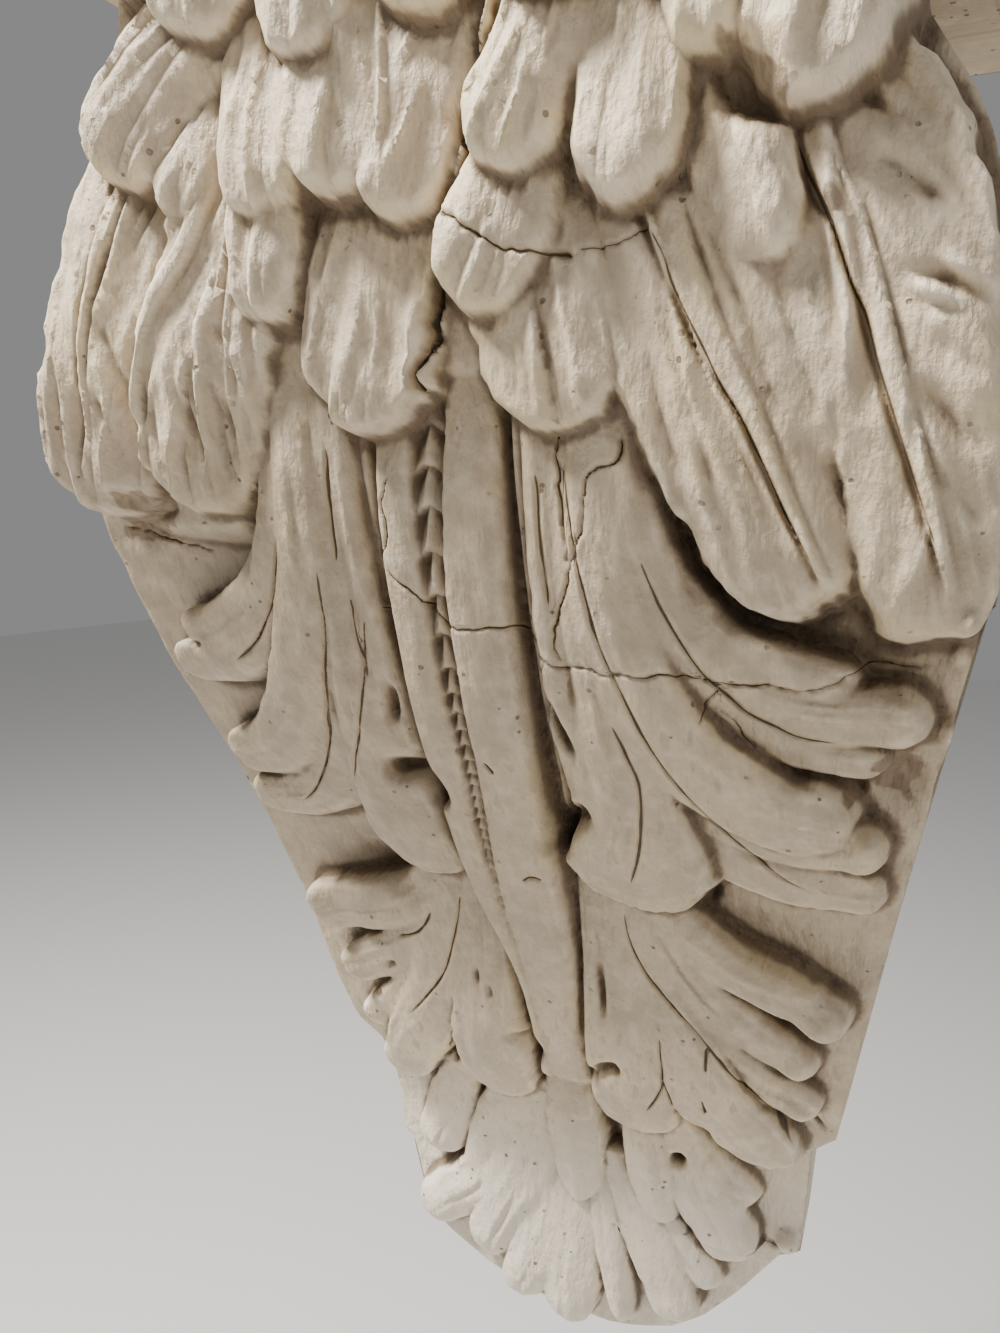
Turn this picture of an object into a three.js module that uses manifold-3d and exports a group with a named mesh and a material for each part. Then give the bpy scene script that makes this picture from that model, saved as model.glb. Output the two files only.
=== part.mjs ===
// A carved and painted wooden corbel: a flat-backed bracket that tapers downwards,
// with a bird's plumage over its upper half, a fluted stem with a chain of husks down
// its middle, two tiers of acanthus leaves either side of it and a cluster of small
// leaves round a bud at the foot. Millimetres, +Z up, front towards -Y. The flat back lies
// on the plane y = 0, with the origin on its centre line, SLAB_TOP below the top face.
import * as THREE from "three";
import { mergeVertices } from "three/addons/utils/BufferGeometryUtils.js";
import Module from "manifold-3d";

// The bracket's block.
const BLOCK_TOP = 330;
const SLAB_BOTTOM = 316;
const SLAB_TOP = 342;
const SLAB_HALF_WIDTH = 150;
const SLAB_DEPTH = 247;
const HALF_WIDTH_AT_ORIGIN = 131.5;
const TAPER = 0.139;
const SHOULDER_TOP = -114;
const SHOULDER_BOTTOM = -127;
const FOOT_HALF_WIDTH = 103;
const FOOT_CORNER = -190;
const FOOT_NOTCH = 15;
const FOOT_BOTTOM = -252;
// How much wider the foot is at the shoulder than at its corner, each side.
const FOOT_FLARE = 3;
// Above this taper the plumage hides the block's sides, which draw in again to the top.
const UPPER_HALF_WIDTHS = [
  [128, 149.3], [160, 151], [190, 148], [215, 142], [240, 130], [262, 115], [285, 108], [330, 106],
];
const BLOCK_STEP = 22;
// Shares of the way down the rounded foot at which the block has a ring of points.
const FOOT_RINGS = [0.06, 0.35, 0.62, 0.82, 0.94, 1];
// The least share of its full width that the foot keeps, squared, so that it ends in a flat.
const FOOT_END_SQUARED = 0.02;
// How deep the plain ground of the front stands before the wall, from the foot up.
const GROUND_DEPTH = [
  [-270, 32], [-185, 36], [-150, 44], [-96, 72], [-32, 96], [33, 129],
  [77, 157], [127, 181], [175, 197], [230, 205], [345, 209],
];
// How far the feathered body's core stands before the ground, and its half widths.
const CORE_LIFT = 15;
const CORE_HALF_WIDTHS = [
  [128, 118], [150, 140], [172, 139], [205, 132], [232, 121], [262, 106], [330, 100],
];
// Where across the core its front has points, from -1 at the left edge to 1 at the right,
// and how much of its lift the ellipse has lost at the edges.
const CORE_ACROSS = [-1, -0.85, -0.4, 0.4, 0.85, 1];
const CORE_FALL = 0.9;
// How far the carved forms reach behind the ground, so that they join the block.
const SINK = 7;

// Feathers in the order they are laid on: root, bend and tip as [x, z], the bend being the
// point that draws the spine aside, then the half width and the lift at root and tip.
const FEATHERS = [
  // the four long ones, two a side
  { root: [-93, 254], bend: [-113, 200], tip: [-129, 137], half: 22, lift: [10, 25] },
  { root: [-46, 254], bend: [-70, 200], tip: [-83, 137], half: 22, lift: [13, 28] },
  { root: [58, 232], bend: [78, 174], tip: [105, 115], half: 21, lift: [15, 29] },
  { root: [97, 240], bend: [126, 181], tip: [134, 110], half: 22, lift: [15, 30] },
  // the short ones, row by row upwards
  { root: [80, 248], bend: [84, 222], tip: [95, 196], half: 11, lift: [22, 27] },
  { root: [-42, 236], bend: [-42, 211], tip: [-45, 191], half: 11, lift: [24, 30] },
  { root: [-9, 224], bend: [-10, 190], tip: [-19, 163], half: 21, lift: [17, 30] },
  { root: [33, 216], bend: [38, 187], tip: [43, 161], half: 18, lift: [18, 29] },
  { root: [33, 236], bend: [31, 207], tip: [20, 190], half: 14, lift: [22, 33] },
  { root: [-58, 254], bend: [-64, 241], tip: [-79, 223], half: 10, lift: [16, 24] },
  { root: [-48, 276], bend: [-78, 264], tip: [-99, 236], half: 15, lift: [22, 27] },
  { root: [-36, 272], bend: [-42, 245], tip: [-40, 218], half: 14, lift: [22, 34] },
  { root: [16, 270], bend: [13, 244], tip: [-2, 213], half: 13, lift: [22, 33] },
  { root: [-14, 274], bend: [-12, 247], tip: [-15, 219], half: 16, lift: [26, 37] },
  { root: [63, 268], bend: [64, 238], tip: [61, 211], half: 14, lift: [22, 35] },
  { root: [44, 268], bend: [42, 244], tip: [31, 220], half: 13, lift: [26, 37] },
  { root: [80, 274], bend: [80, 256], tip: [80, 238], half: 10, lift: [24, 35] },
  { root: [106, 276], bend: [104, 249], tip: [98, 226], half: 16, lift: [24, 37] },
  { root: [-18, 298], bend: [-20, 277], tip: [-22, 252], half: 16, lift: [26, 39] },
  { root: [13, 303], bend: [12, 276], tip: [10, 256], half: 13, lift: [26, 39] },
  { root: [44, 302], bend: [44, 274], tip: [43, 255], half: 15, lift: [26, 39] },
  { root: [72, 303], bend: [72, 276], tip: [71, 255], half: 14, lift: [24, 38] },
  { root: [-50, 304], bend: [-54, 284], tip: [-57, 263], half: 17, lift: [26, 36] },
];
// The two top rows, out of reach of the eye below: x of each feather, one row's sizes.
const TOP_ROWS = [
  { tips: [-84, -33, 0, 29, 60, 92], tipHeight: 282, length: 40, half: 16 },
  { tips: [-68, -17, 15, 46, 78, 104], tipHeight: 300, length: 32, half: 16 },
];
const TOP_LIFT = [24, 35];

// Leaf lobes of the right and the left side, given as the feathers are.
const LEAVES = [
  // upper tier, right: the blade, the outward fingers and the turned-over inner lobe
  { root: [30, 166], bend: [48, 80], tip: [86, 22], half: 25, lift: [16, 18] },
  { root: [44, 154], bend: [70, 98], tip: [135, 89], half: 13, lift: [22, 18] },
  { root: [46, 140], bend: [74, 80], tip: [127, 70], half: 10, lift: [22, 16] },
  { root: [46, 120], bend: [66, 40], tip: [130, 34], half: 13, lift: [22, 18] },
  { root: [50, 96], bend: [74, 22], tip: [124, 14], half: 11, lift: [22, 16] },
  { root: [44, 140], bend: [62, 62], tip: [117, 45], half: 12, lift: [26, 25] },
  { root: [38, 120], bend: [46, 60], tip: [49, 2], half: 23, lift: [24, 34] },
  { root: [30, 160], bend: [36, 110], tip: [40, 50], half: 7, lift: [24, 36] },
  // upper tier, left
  { root: [-26, 166], bend: [-46, 80], tip: [-80, 22], half: 25, lift: [16, 18] },
  { root: [-46, 152], bend: [-66, 108], tip: [-122, 95], half: 12, lift: [22, 14] },
  { root: [-46, 140], bend: [-72, 86], tip: [-130, 79], half: 11, lift: [22, 12] },
  { root: [-46, 110], bend: [-62, 52], tip: [-124, 38], half: 13, lift: [24, 14] },
  { root: [-46, 96], bend: [-64, 36], tip: [-126, 16], half: 12, lift: [22, 12] },
  { root: [-30, 120], bend: [-34, 60], tip: [-30, 5], half: 19, lift: [24, 33] },
  { root: [-22, 160], bend: [-27, 110], tip: [-27, 58], half: 7, lift: [24, 33] },
  // lower tier, right
  { root: [32, 6], bend: [48, -50], tip: [66, -112], half: 22, lift: [14, 16] },
  { root: [54, 8], bend: [68, -28], tip: [118, -45], half: 12, lift: [18, 19] },
  { root: [52, -6], bend: [68, -52], tip: [111, -68], half: 10, lift: [18, 15] },
  { root: [50, -22], bend: [72, -74], tip: [111, -90], half: 10, lift: [18, 14] },
  { root: [50, -36], bend: [66, -92], tip: [100, -132], half: 18, lift: [18, 18] },
  { root: [36, -20], bend: [38, -80], tip: [40, -136], half: 19, lift: [18, 26] },
  // lower tier, left
  { root: [-26, 6], bend: [-46, -50], tip: [-60, -112], half: 22, lift: [14, 16] },
  { root: [-30, 4], bend: [-62, -10], tip: [-112, -40], half: 13, lift: [18, 15] },
  { root: [-34, -10], bend: [-62, -46], tip: [-104, -76], half: 11, lift: [18, 14] },
  { root: [-36, -26], bend: [-62, -72], tip: [-102, -108], half: 11, lift: [18, 14] },
  { root: [-38, -40], bend: [-62, -96], tip: [-97, -144], half: 14, lift: [18, 15] },
  { root: [-26, -20], bend: [-28, -78], tip: [-30, -136], half: 19, lift: [18, 26] },
  // the cluster at the foot
  { root: [58, -128], bend: [64, -160], tip: [72, -192], half: 19, lift: [12, 15] },
  { root: [-52, -130], bend: [-62, -160], tip: [-88, -190], half: 16, lift: [12, 15] },
  { root: [-30, -128], bend: [-44, -160], tip: [-56, -188], half: 13, lift: [16, 19] },
  { root: [32, -132], bend: [38, -158], tip: [40, -184], half: 12, lift: [16, 19] },
  { root: [-8, -166], bend: [-42, -186], tip: [-86, -231], half: 16, lift: [14, 17] },
  { root: [-10, -176], bend: [-36, -204], tip: [-62, -246], half: 13, lift: [16, 18] },
  { root: [26, -174], bend: [42, -198], tip: [52, -230], half: 16, lift: [14, 17] },
  { root: [12, -176], bend: [22, -204], tip: [28, -236], half: 10, lift: [16, 18] },
  { root: [2, -172], bend: [-6, -210], tip: [-18, -264], half: 24, lift: [16, 20] },
];

// The stem: two ribs beside a groove that a chain of husks lies in, then the bud.
const STEM_TOP = 176;
const STEM_TIP = -116;
const STEM_X = 4;
const STEM_HALF_WIDTH = [[-116, 4], [-60, 8], [40, 15], [176, 18]];
const STEM_LIFT = [[-116, 12], [-81, 17], [-36, 25], [8, 31], [38, 32], [91, 27], [142, 21], [176, 18]];
const STEM_STATIONS = 14;
const GROOVE_HALF_WIDTH = 3.5;
const GROOVE_DEPTH = 6;
const GROOVE_BOTTOM = -34;
// Below its end the groove is only a scratch; its walls lean out by the bevel, and each
// rib's crown falls off towards its outer edge.
const GROOVE_SCRATCH = 0.5;
const GROOVE_BEVEL = 1;
const GROOVE_SHARE = 0.4;
const RIB_SHOULDER = 0.8;
const RIB_FALL = 1.5;
const RIB_EDGE = 8;
const HUSK_COUNT = 11;
const HUSK_TOP = 160;
const HUSK_BOTTOM = -20;
// The first husk's radius and length, and how small the last one is beside it.
const HUSK_RADIUS = 5.2;
const HUSK_LENGTH = 17;
const HUSK_LEAST = 0.55;
const BUD = { root: [4, -104], bend: [4, -140], tip: [1, -184], half: 11, lift: [15, 23] };

// A lobe's rings along its spine, the faces across each, and how far its edges lie below
// its spine.
const STATIONS = 6;
const ACROSS = 4;
const CROWN = 5;
// A lobe's width at its root as a share of the whole, how soon it is whole, and the length
// of its rounded tip in half widths, with how far the tip drops and where its plan ends.
const ROOT_SHARE = 0.72;
const ROOT_WIDENING = 2.2;
const TIP_LENGTH = 1.25;
const TIP_DROP = 2;
const TIP_END_SQUARED = 0.05;

const wasm = await Module();
wasm.setup();

// A smooth curve through [place, value] stations: cubic steps with the neighbours' slopes.
function through(stations, place) {
  const last = stations.length - 1;
  if (place <= stations[0][0]) return stations[0][1];
  if (place >= stations[last][0]) return stations[last][1];
  const i = stations.findIndex(([at]) => at > place) - 1;
  const slope = (k) => {
    const a = stations[Math.max(k - 1, 0)];
    const b = stations[Math.min(k + 1, last)];
    return (b[1] - a[1]) / (b[0] - a[0]);
  };
  const [z0, v0] = stations[i];
  const [z1, v1] = stations[i + 1];
  const step = z1 - z0;
  const f = (place - z0) / step;
  const rise = f * f * (3 - 2 * f);
  const lead = f * (1 - f) * (1 - f) * slope(i) * step;
  const trail = f * f * (f - 1) * slope(i + 1) * step;
  return v0 + (v1 - v0) * rise + lead + trail;
}

const groundDepth = (z) => through(GROUND_DEPTH, z);
const lerp = THREE.MathUtils.lerp;

// A closed solid of equal rings of points, each ring joined to the next and both ends capped.
function ringSolid(rings) {
  const count = rings[0].length;
  const positions = rings.flat(2);
  const faces = [];
  for (let i = 0; i + 1 < rings.length; i++)
    for (let j = 0; j < count; j++) {
      const a = i * count + j;
      const b = i * count + ((j + 1) % count);
      faces.push(a, b, a + count, b, b + count, a + count);
    }
  const end = (rings.length - 1) * count;
  for (let j = 1; j + 1 < count; j++) {
    faces.push(0, j + 1, j);
    faces.push(end, end + j, end + j + 1);
  }
  const geometry = new THREE.BufferGeometry();
  geometry.setAttribute("position", new THREE.Float32BufferAttribute(positions, 3));
  geometry.setIndex(faces);
  return solidOf(geometry);
}

// A closed three.js geometry as a solid, turned right side out if need be.
function solidOf(source) {
  const geometry = source.clone();
  geometry.deleteAttribute("normal");
  geometry.deleteAttribute("uv");
  const merged = mergeVertices(geometry, 1e-4);
  const vertProperties = Float32Array.from(merged.attributes.position.array);
  const triVerts = Uint32Array.from(merged.index.array);
  const made = new wasm.Manifold(new wasm.Mesh({ numProp: 3, vertProperties, triVerts }));
  if (made.volume() >= 0) return made;
  for (let i = 0; i < triVerts.length; i += 3)
    [triVerts[i + 1], triVerts[i + 2]] = [triVerts[i + 2], triVerts[i + 1]];
  return new wasm.Manifold(new wasm.Mesh({ numProp: 3, vertProperties, triVerts }));
}

// The block's half width: behind the plumage a line of its own, then a straight taper, a
// small step in at the shoulder, and at the foot a notched corner over a half ellipse.
function blockHalfWidth(z) {
  if (z >= UPPER_HALF_WIDTHS[0][0]) return through(UPPER_HALF_WIDTHS, z);
  if (z >= SHOULDER_TOP) return HALF_WIDTH_AT_ORIGIN + TAPER * z;
  const atShoulder = HALF_WIDTH_AT_ORIGIN + TAPER * SHOULDER_TOP;
  if (z >= SHOULDER_BOTTOM) {
    const f = (SHOULDER_TOP - z) / (SHOULDER_TOP - SHOULDER_BOTTOM);
    return lerp(atShoulder, FOOT_HALF_WIDTH + FOOT_FLARE, f);
  }
  if (z >= FOOT_CORNER)
    return FOOT_HALF_WIDTH + FOOT_FLARE * ((z - FOOT_CORNER) / (SHOULDER_BOTTOM - FOOT_CORNER));
  const f = (FOOT_CORNER - z) / (FOOT_CORNER - FOOT_BOTTOM);
  return (FOOT_HALF_WIDTH - FOOT_NOTCH) * Math.sqrt(Math.max(1 - f * f, FOOT_END_SQUARED));
}

function block() {
  const heights = [];
  for (let z = BLOCK_TOP; z > SHOULDER_TOP; z -= BLOCK_STEP) heights.push(z);
  heights.push(SHOULDER_TOP, SHOULDER_BOTTOM, (SHOULDER_BOTTOM + FOOT_CORNER) / 2, FOOT_CORNER);
  for (const f of FOOT_RINGS)
    heights.push(lerp(FOOT_CORNER, FOOT_BOTTOM, f));
  const rings = heights.map((z) => {
    const w = blockHalfWidth(z);
    const y = -groundDepth(z);
    return [[-w, 0, z], [w, 0, z], [w, y, z], [-w, y, z]];
  });
  return ringSolid(rings);
}

// The slab that the bracket's load sits on.
function slab() {
  const box = new THREE.BoxGeometry(2 * SLAB_HALF_WIDTH, SLAB_DEPTH, SLAB_TOP - SLAB_BOTTOM);
  box.translate(0, -SLAB_DEPTH / 2, (SLAB_TOP + SLAB_BOTTOM) / 2);
  return solidOf(box);
}

// The rounded body that the feathers lie on.
function core() {
  const rings = CORE_HALF_WIDTHS.map(([z, w]) => {
    const ring = [[w, -groundDepth(z) + SINK, z]];
    ring.push([-w, -groundDepth(z) + SINK, z]);
    for (const t of CORE_ACROSS) {
      const swell = Math.sqrt(1 - CORE_FALL * t * t);
      ring.push([t * w, -groundDepth(z) - CORE_LIFT * swell, z]);
    }
    return ring;
  });
  return ringSolid(rings);
}

// A feather or a leaf lobe: rings of points carried along a bent spine on the ground's
// curve, crowned across, rounded in plan at the tip and narrower at the root.
function lobe({ root, bend, tip, half, lift }) {
  const spine = new THREE.QuadraticBezierCurve(
    new THREE.Vector2(...root),
    new THREE.Vector2(...bend),
    new THREE.Vector2(...tip),
  );
  const length = spine.getLength();
  const rings = [];
  for (let i = 0; i <= STATIONS; i++) {
    const s = Math.sin(((i / STATIONS) * Math.PI) / 2);
    const centre = spine.getPointAt(s);
    const along = spine.getTangentAt(s);
    const toTip = Math.max(1 - (1 - s) * (length / (TIP_LENGTH * half)), 0);
    const widening = lerp(ROOT_SHARE, 1, Math.min(s * ROOT_WIDENING, 1));
    const plan = widening * Math.sqrt(Math.max(1 - toTip * toTip, TIP_END_SQUARED));
    const top = [];
    for (let j = 0; j <= ACROSS; j++) {
      const t = -1 + (2 * j) / ACROSS;
      const x = centre.x - along.y * half * plan * t;
      const z = centre.y + along.x * half * plan * t;
      const rise = lerp(lift[0], lift[1], s) - CROWN * t * t - TIP_DROP * toTip * toTip;
      top.push([x, -groundDepth(z) - rise, z]);
    }
    const under = [top[ACROSS], top[0]].map(([x, , z]) => [x, -groundDepth(z) + SINK, z]);
    rings.push([...top, ...under]);
  }
  return ringSolid(rings);
}

// The stem's cross-section: two ribs with the husk groove between them.
function stem() {
  const rings = [];
  for (let i = 0; i <= STEM_STATIONS; i++) {
    const z = lerp(STEM_TOP, STEM_TIP, i / STEM_STATIONS);
    const w = through(STEM_HALF_WIDTH, z);
    const face = -groundDepth(z) - through(STEM_LIFT, z);
    const groove = z > GROOVE_BOTTOM ? GROOVE_DEPTH : GROOVE_SCRATCH;
    const inner = Math.min(GROOVE_HALF_WIDTH, GROOVE_SHARE * w);
    rings.push([
      [STEM_X - w, -groundDepth(z) + SINK, z],
      [STEM_X - w, face + RIB_EDGE, z],
      [STEM_X - RIB_SHOULDER * w, face + RIB_FALL, z],
      [STEM_X - inner - GROOVE_BEVEL, face, z],
      [STEM_X - inner, face + groove, z],
      [STEM_X + inner, face + groove, z],
      [STEM_X + inner + GROOVE_BEVEL, face, z],
      [STEM_X + RIB_SHOULDER * w, face + RIB_FALL, z],
      [STEM_X + w, face + RIB_EDGE, z],
      [STEM_X + w, -groundDepth(z) + SINK, z],
    ]);
  }
  return ringSolid(rings);
}

// One husk of the chain: a small four-sided pyramid lying point up in the groove.
function husk(index) {
  const f = index / (HUSK_COUNT - 1);
  const z = lerp(HUSK_TOP, HUSK_BOTTOM, f);
  const size = lerp(1, HUSK_LEAST, f);
  const geometry = new THREE.ConeGeometry(HUSK_RADIUS * size, HUSK_LENGTH * size, 4);
  geometry.rotateX(Math.PI / 2);
  const base = -groundDepth(z) - through(STEM_LIFT, z) + GROOVE_DEPTH;
  geometry.translate(STEM_X, base, z);
  return solidOf(geometry);
}

const solids = [slab(), core(), stem(), lobe(BUD)];
for (const sizes of [...FEATHERS, ...LEAVES]) solids.push(lobe(sizes));
for (const { tips, tipHeight, length, half } of TOP_ROWS)
  for (const x of tips)
    solids.push(
      lobe({
        root: [x, tipHeight + length],
        bend: [x, tipHeight + length / 2],
        tip: [x, tipHeight],
        half,
        lift: TOP_LIFT,
      }),
    );
for (let i = 0; i < HUSK_COUNT; i++) solids.push(husk(i));

let carved = block();
for (const solid of solids) carved = carved.add(solid);

// The solid as a three.js geometry with flat faces.
function geometryOf(solid) {
  const mesh = solid.getMesh();
  const points = new Float32Array(mesh.numVert * 3);
  for (let i = 0; i < mesh.numVert; i++)
    points.set(mesh.vertProperties.subarray(i * mesh.numProp, i * mesh.numProp + 3), i * 3);
  const geometry = new THREE.BufferGeometry();
  geometry.setAttribute("position", new THREE.BufferAttribute(points, 3));
  geometry.setIndex(new THREE.BufferAttribute(mesh.triVerts, 1));
  const flat = geometry.toNonIndexed();
  flat.computeVertexNormals();
  return flat;
}

const paintedWood = new THREE.MeshStandardMaterial({ color: 0xbfb3a2, roughness: 0.75, metalness: 0 });
const corbel = new THREE.Mesh(geometryOf(carved), paintedWood);
corbel.name = "corbel";

const part = new THREE.Group();
part.name = "carved_corbel";
part.add(corbel);

export default part;
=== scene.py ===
import math
from functools import partial

import bmesh
import bpy
import numpy as np
from mathutils import Matrix, Vector


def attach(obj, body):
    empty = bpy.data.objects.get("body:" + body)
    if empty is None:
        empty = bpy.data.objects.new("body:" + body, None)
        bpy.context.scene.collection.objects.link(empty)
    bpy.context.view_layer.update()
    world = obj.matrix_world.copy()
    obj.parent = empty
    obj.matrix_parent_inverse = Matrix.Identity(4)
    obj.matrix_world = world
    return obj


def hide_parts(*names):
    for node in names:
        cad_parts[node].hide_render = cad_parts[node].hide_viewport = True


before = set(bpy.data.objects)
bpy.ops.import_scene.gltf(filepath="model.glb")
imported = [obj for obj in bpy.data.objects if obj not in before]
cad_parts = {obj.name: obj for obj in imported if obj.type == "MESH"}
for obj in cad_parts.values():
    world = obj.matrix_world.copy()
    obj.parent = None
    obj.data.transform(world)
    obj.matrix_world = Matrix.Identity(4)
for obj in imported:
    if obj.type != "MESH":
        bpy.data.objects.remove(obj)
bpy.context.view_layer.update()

# The block
# The corbel is one tapering block of wood, flat behind and straight at the sides, that comes
# forward in a curve towards the top. It is carved from the front, and its foot is cut back in
# steps to a rounded end. All sizes here are mm: x across, z up, depth out from the wall.
BLOCK_TOP = 316
HALF_WIDTH_AT_ORIGIN = 131.5
TAPER = 0.139
UPPER_HALF = [(128, 149.3), (160, 151), (190, 148), (215, 142), (240, 130), (262, 115), (285, 108),
              (330, 106)]
SHOULDER_TOP, SHOULDER_BOTTOM = -114, -127
FOOT_HALF_WIDTH, FOOT_FLARE, FOOT_CORNER, FOOT_NOTCH, FOOT_BOTTOM = 103, 3, -190, 15, -252
GROUND_DEPTH = [(-270, 32), (-185, 36), (-150, 44), (-96, 72), (-32, 96), (33, 129), (77, 157),
                (127, 181), (175, 197), (230, 205), (345, 209)]


def through(stations, place):
    """A smooth curve through (place, value) stations: a cubic step between each two, that
    keeps the slope of the neighbours at both ends."""
    at = np.array([station[0] for station in stations], float)
    value = np.array([station[1] for station in stations], float)
    before = np.maximum(np.arange(len(at)) - 1, 0)
    after = np.minimum(np.arange(len(at)) + 1, len(at) - 1)
    slope = (value[after] - value[before]) / (at[after] - at[before])
    place = np.clip(place, at[0], at[-1])
    i = np.clip(np.searchsorted(at, place, side="right") - 1, 0, len(at) - 2)
    step = at[i + 1] - at[i]
    f = (place - at[i]) / step
    lead = f * (1 - f) ** 2 * slope[i] * step
    trail = f * f * (f - 1) * slope[i + 1] * step
    return value[i] + (value[i + 1] - value[i]) * f * f * (3 - 2 * f) + lead + trail


def fade(start, end, value):
    """0 before start, 1 past end, and a smooth step between."""
    f = np.clip((value - start) / (end - start), 0, 1)
    return f * f * (3 - 2 * f)


def block_half_width(z):
    """Half the block's width: a line of its own behind the plumage, a straight taper, a
    shoulder, a foot that flares a little upwards, then a quarter of an ellipse."""
    z = np.asarray(z, float)
    at_shoulder = HALF_WIDTH_AT_ORIGIN + TAPER * SHOULDER_TOP
    below = FOOT_FLARE * (z - FOOT_CORNER) / (SHOULDER_BOTTOM - FOOT_CORNER) + FOOT_HALF_WIDTH
    down = np.clip((SHOULDER_TOP - z) / (SHOULDER_TOP - SHOULDER_BOTTOM), 0, 1)
    width = np.where(z > SHOULDER_TOP, HALF_WIDTH_AT_ORIGIN + TAPER * z,
                     at_shoulder + (FOOT_HALF_WIDTH + FOOT_FLARE - at_shoulder) * down)
    width = np.where(z < SHOULDER_BOTTOM, below, width)
    width = np.where(z > UPPER_HALF[0][0], through(UPPER_HALF, z), width)
    down = np.clip((FOOT_CORNER - z) / (FOOT_CORNER - FOOT_BOTTOM), 0, 1)
    rounded = (FOOT_HALF_WIDTH - FOOT_NOTCH) * np.sqrt(np.maximum(1 - down * down, 0))
    return np.where(z < FOOT_CORNER, rounded, width)


# The carver's line and blade
# Everything on the front is a blade: a feather, a leaf lobe or a rib, with a spine, a width, a
# crowned or hollow section and a rounded tip. A blade is laid over what is already carved.
WHOLE_FRONT = (slice(None), slice(None))
FAR_DOWN = 300
SHORT_STREAKS = 6
CURVE_STEPS = 9
TABLE = 128
PAST_TIP = 1.3
SHEER, CUT_OFF = 6, 2.4
EDGE_BAND, EDGE_DROP = 2.2, 1.6
SCOOP_CREST = 2.6
# A height so low that it never shows.
NOTHING = -99.0
# The crest that a lobe's end curls into and the dip before it: each is its place and its width
# in tip radii, and its share of the curl's height.
CURL = [(0.45, 0.5, 1), (1.7, 0.6, -0.9)]
# The gouge's broad and fine waves: pitch, stretch along the blade and height.
SCOOPS = [(1, 0.16, 0.75), (0.42, 0.14, 0.35)]


def curve(points):
    """A smooth line through all the points: on each stretch the cubic whose slopes at both
    ends are half the chord between the neighbours."""
    p = np.array(points, float)
    if len(p) == 2:
        return p
    q = np.vstack([2 * p[0] - p[1], p, 2 * p[-1] - p[-2]])
    t = np.linspace(0, 1, CURVE_STEPS, endpoint=False)[:, None]
    line = []
    for a, b, c, d in zip(q[:-3], q[1:-2], q[2:-1], q[3:]):
        line.append(0.5 * (2 * b + (c - a) * t + (2 * a - 5 * b + 4 * c - d) * t ** 2
                           + (3 * b - a - 3 * c + d) * t ** 3))
    line.append(p[-1:])
    return np.vstack(line)


def along(line, x, z):
    """For every point: how far along the line its nearest place is, how far to the left (+)
    or right (-) of it the point lies, and the line's length."""
    a, step = line[:-1], np.diff(line, axis=0)
    length = np.hypot(step[:, 0], step[:, 1])
    start = np.concatenate([[0], np.cumsum(length)[:-1]])
    nearest = np.full(x.shape, np.inf)
    reach, side = np.zeros(x.shape), np.zeros(x.shape)
    for (ax, az), (sx, sz), size, begin in zip(a, step, length, start):
        px, pz = x - ax, z - az
        f = np.clip((px * sx + pz * sz) / size ** 2, 0, 1)
        gap = (px - f * sx) ** 2 + (pz - f * sz) ** 2
        closer = gap < nearest
        nearest = np.where(closer, gap, nearest)
        reach = np.where(closer, begin + f * size, reach)
        side = np.where(closer, np.sign(sx * pz - sz * px), side)
    return reach, side * np.sqrt(nearest), start[-1] + length[-1]


def unevenness(x, z, size, seed):
    """Smooth random heights between -1 and 1: a table of random numbers, one for each size mm,
    blended by smooth steps both ways."""
    table = np.random.RandomState(seed).uniform(-1, 1, (TABLE, TABLE))
    across, up = np.asarray(x) / size, np.asarray(z) / size
    i, j = np.floor(across).astype(int), np.floor(up).astype(int)
    f, g = fade(0, 1, across - i), fade(0, 1, up - j)
    corner = [[table[(i + a) % TABLE, (j + b) % TABLE] for b in (0, 1)] for a in (0, 1)]
    low = corner[0][0] * (1 - f) + corner[1][0] * f
    high = corner[0][1] * (1 - f) + corner[1][1] * f
    return low * (1 - g) + high * g


def crooked(x, z):
    """The same points moved about a little, so that a crack followed there is not smooth."""
    return (x + 0.9 * unevenness(x, z, 5, 51) + 0.4 * unevenness(x, z, 2, 52),
            z + 0.9 * unevenness(x, z, 5, 53) + 0.4 * unevenness(x, z, 2, 54))


def stations_of(value):
    """One number, (root, tip), (root, middle, tip) or (place, value) pairs, as stations."""
    if np.isscalar(value):
        return [(0, value), (1, value)]
    if not np.isscalar(value[0]):
        return list(value)
    return list(zip(np.linspace(0, 1, len(value)), value))


def in_dish(x, z, x0, z0, across, up, turn):
    """Each point's place in an ellipse around (x0, z0) turned by degrees: the two distances
    along its axes, which are 1 at its rim."""
    c, s = np.cos(np.radians(turn)), np.sin(np.radians(turn))
    dx, dz = x - x0, z - z0
    return (dx * c + dz * s) / across, (dz * c - dx * s) / up


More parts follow.
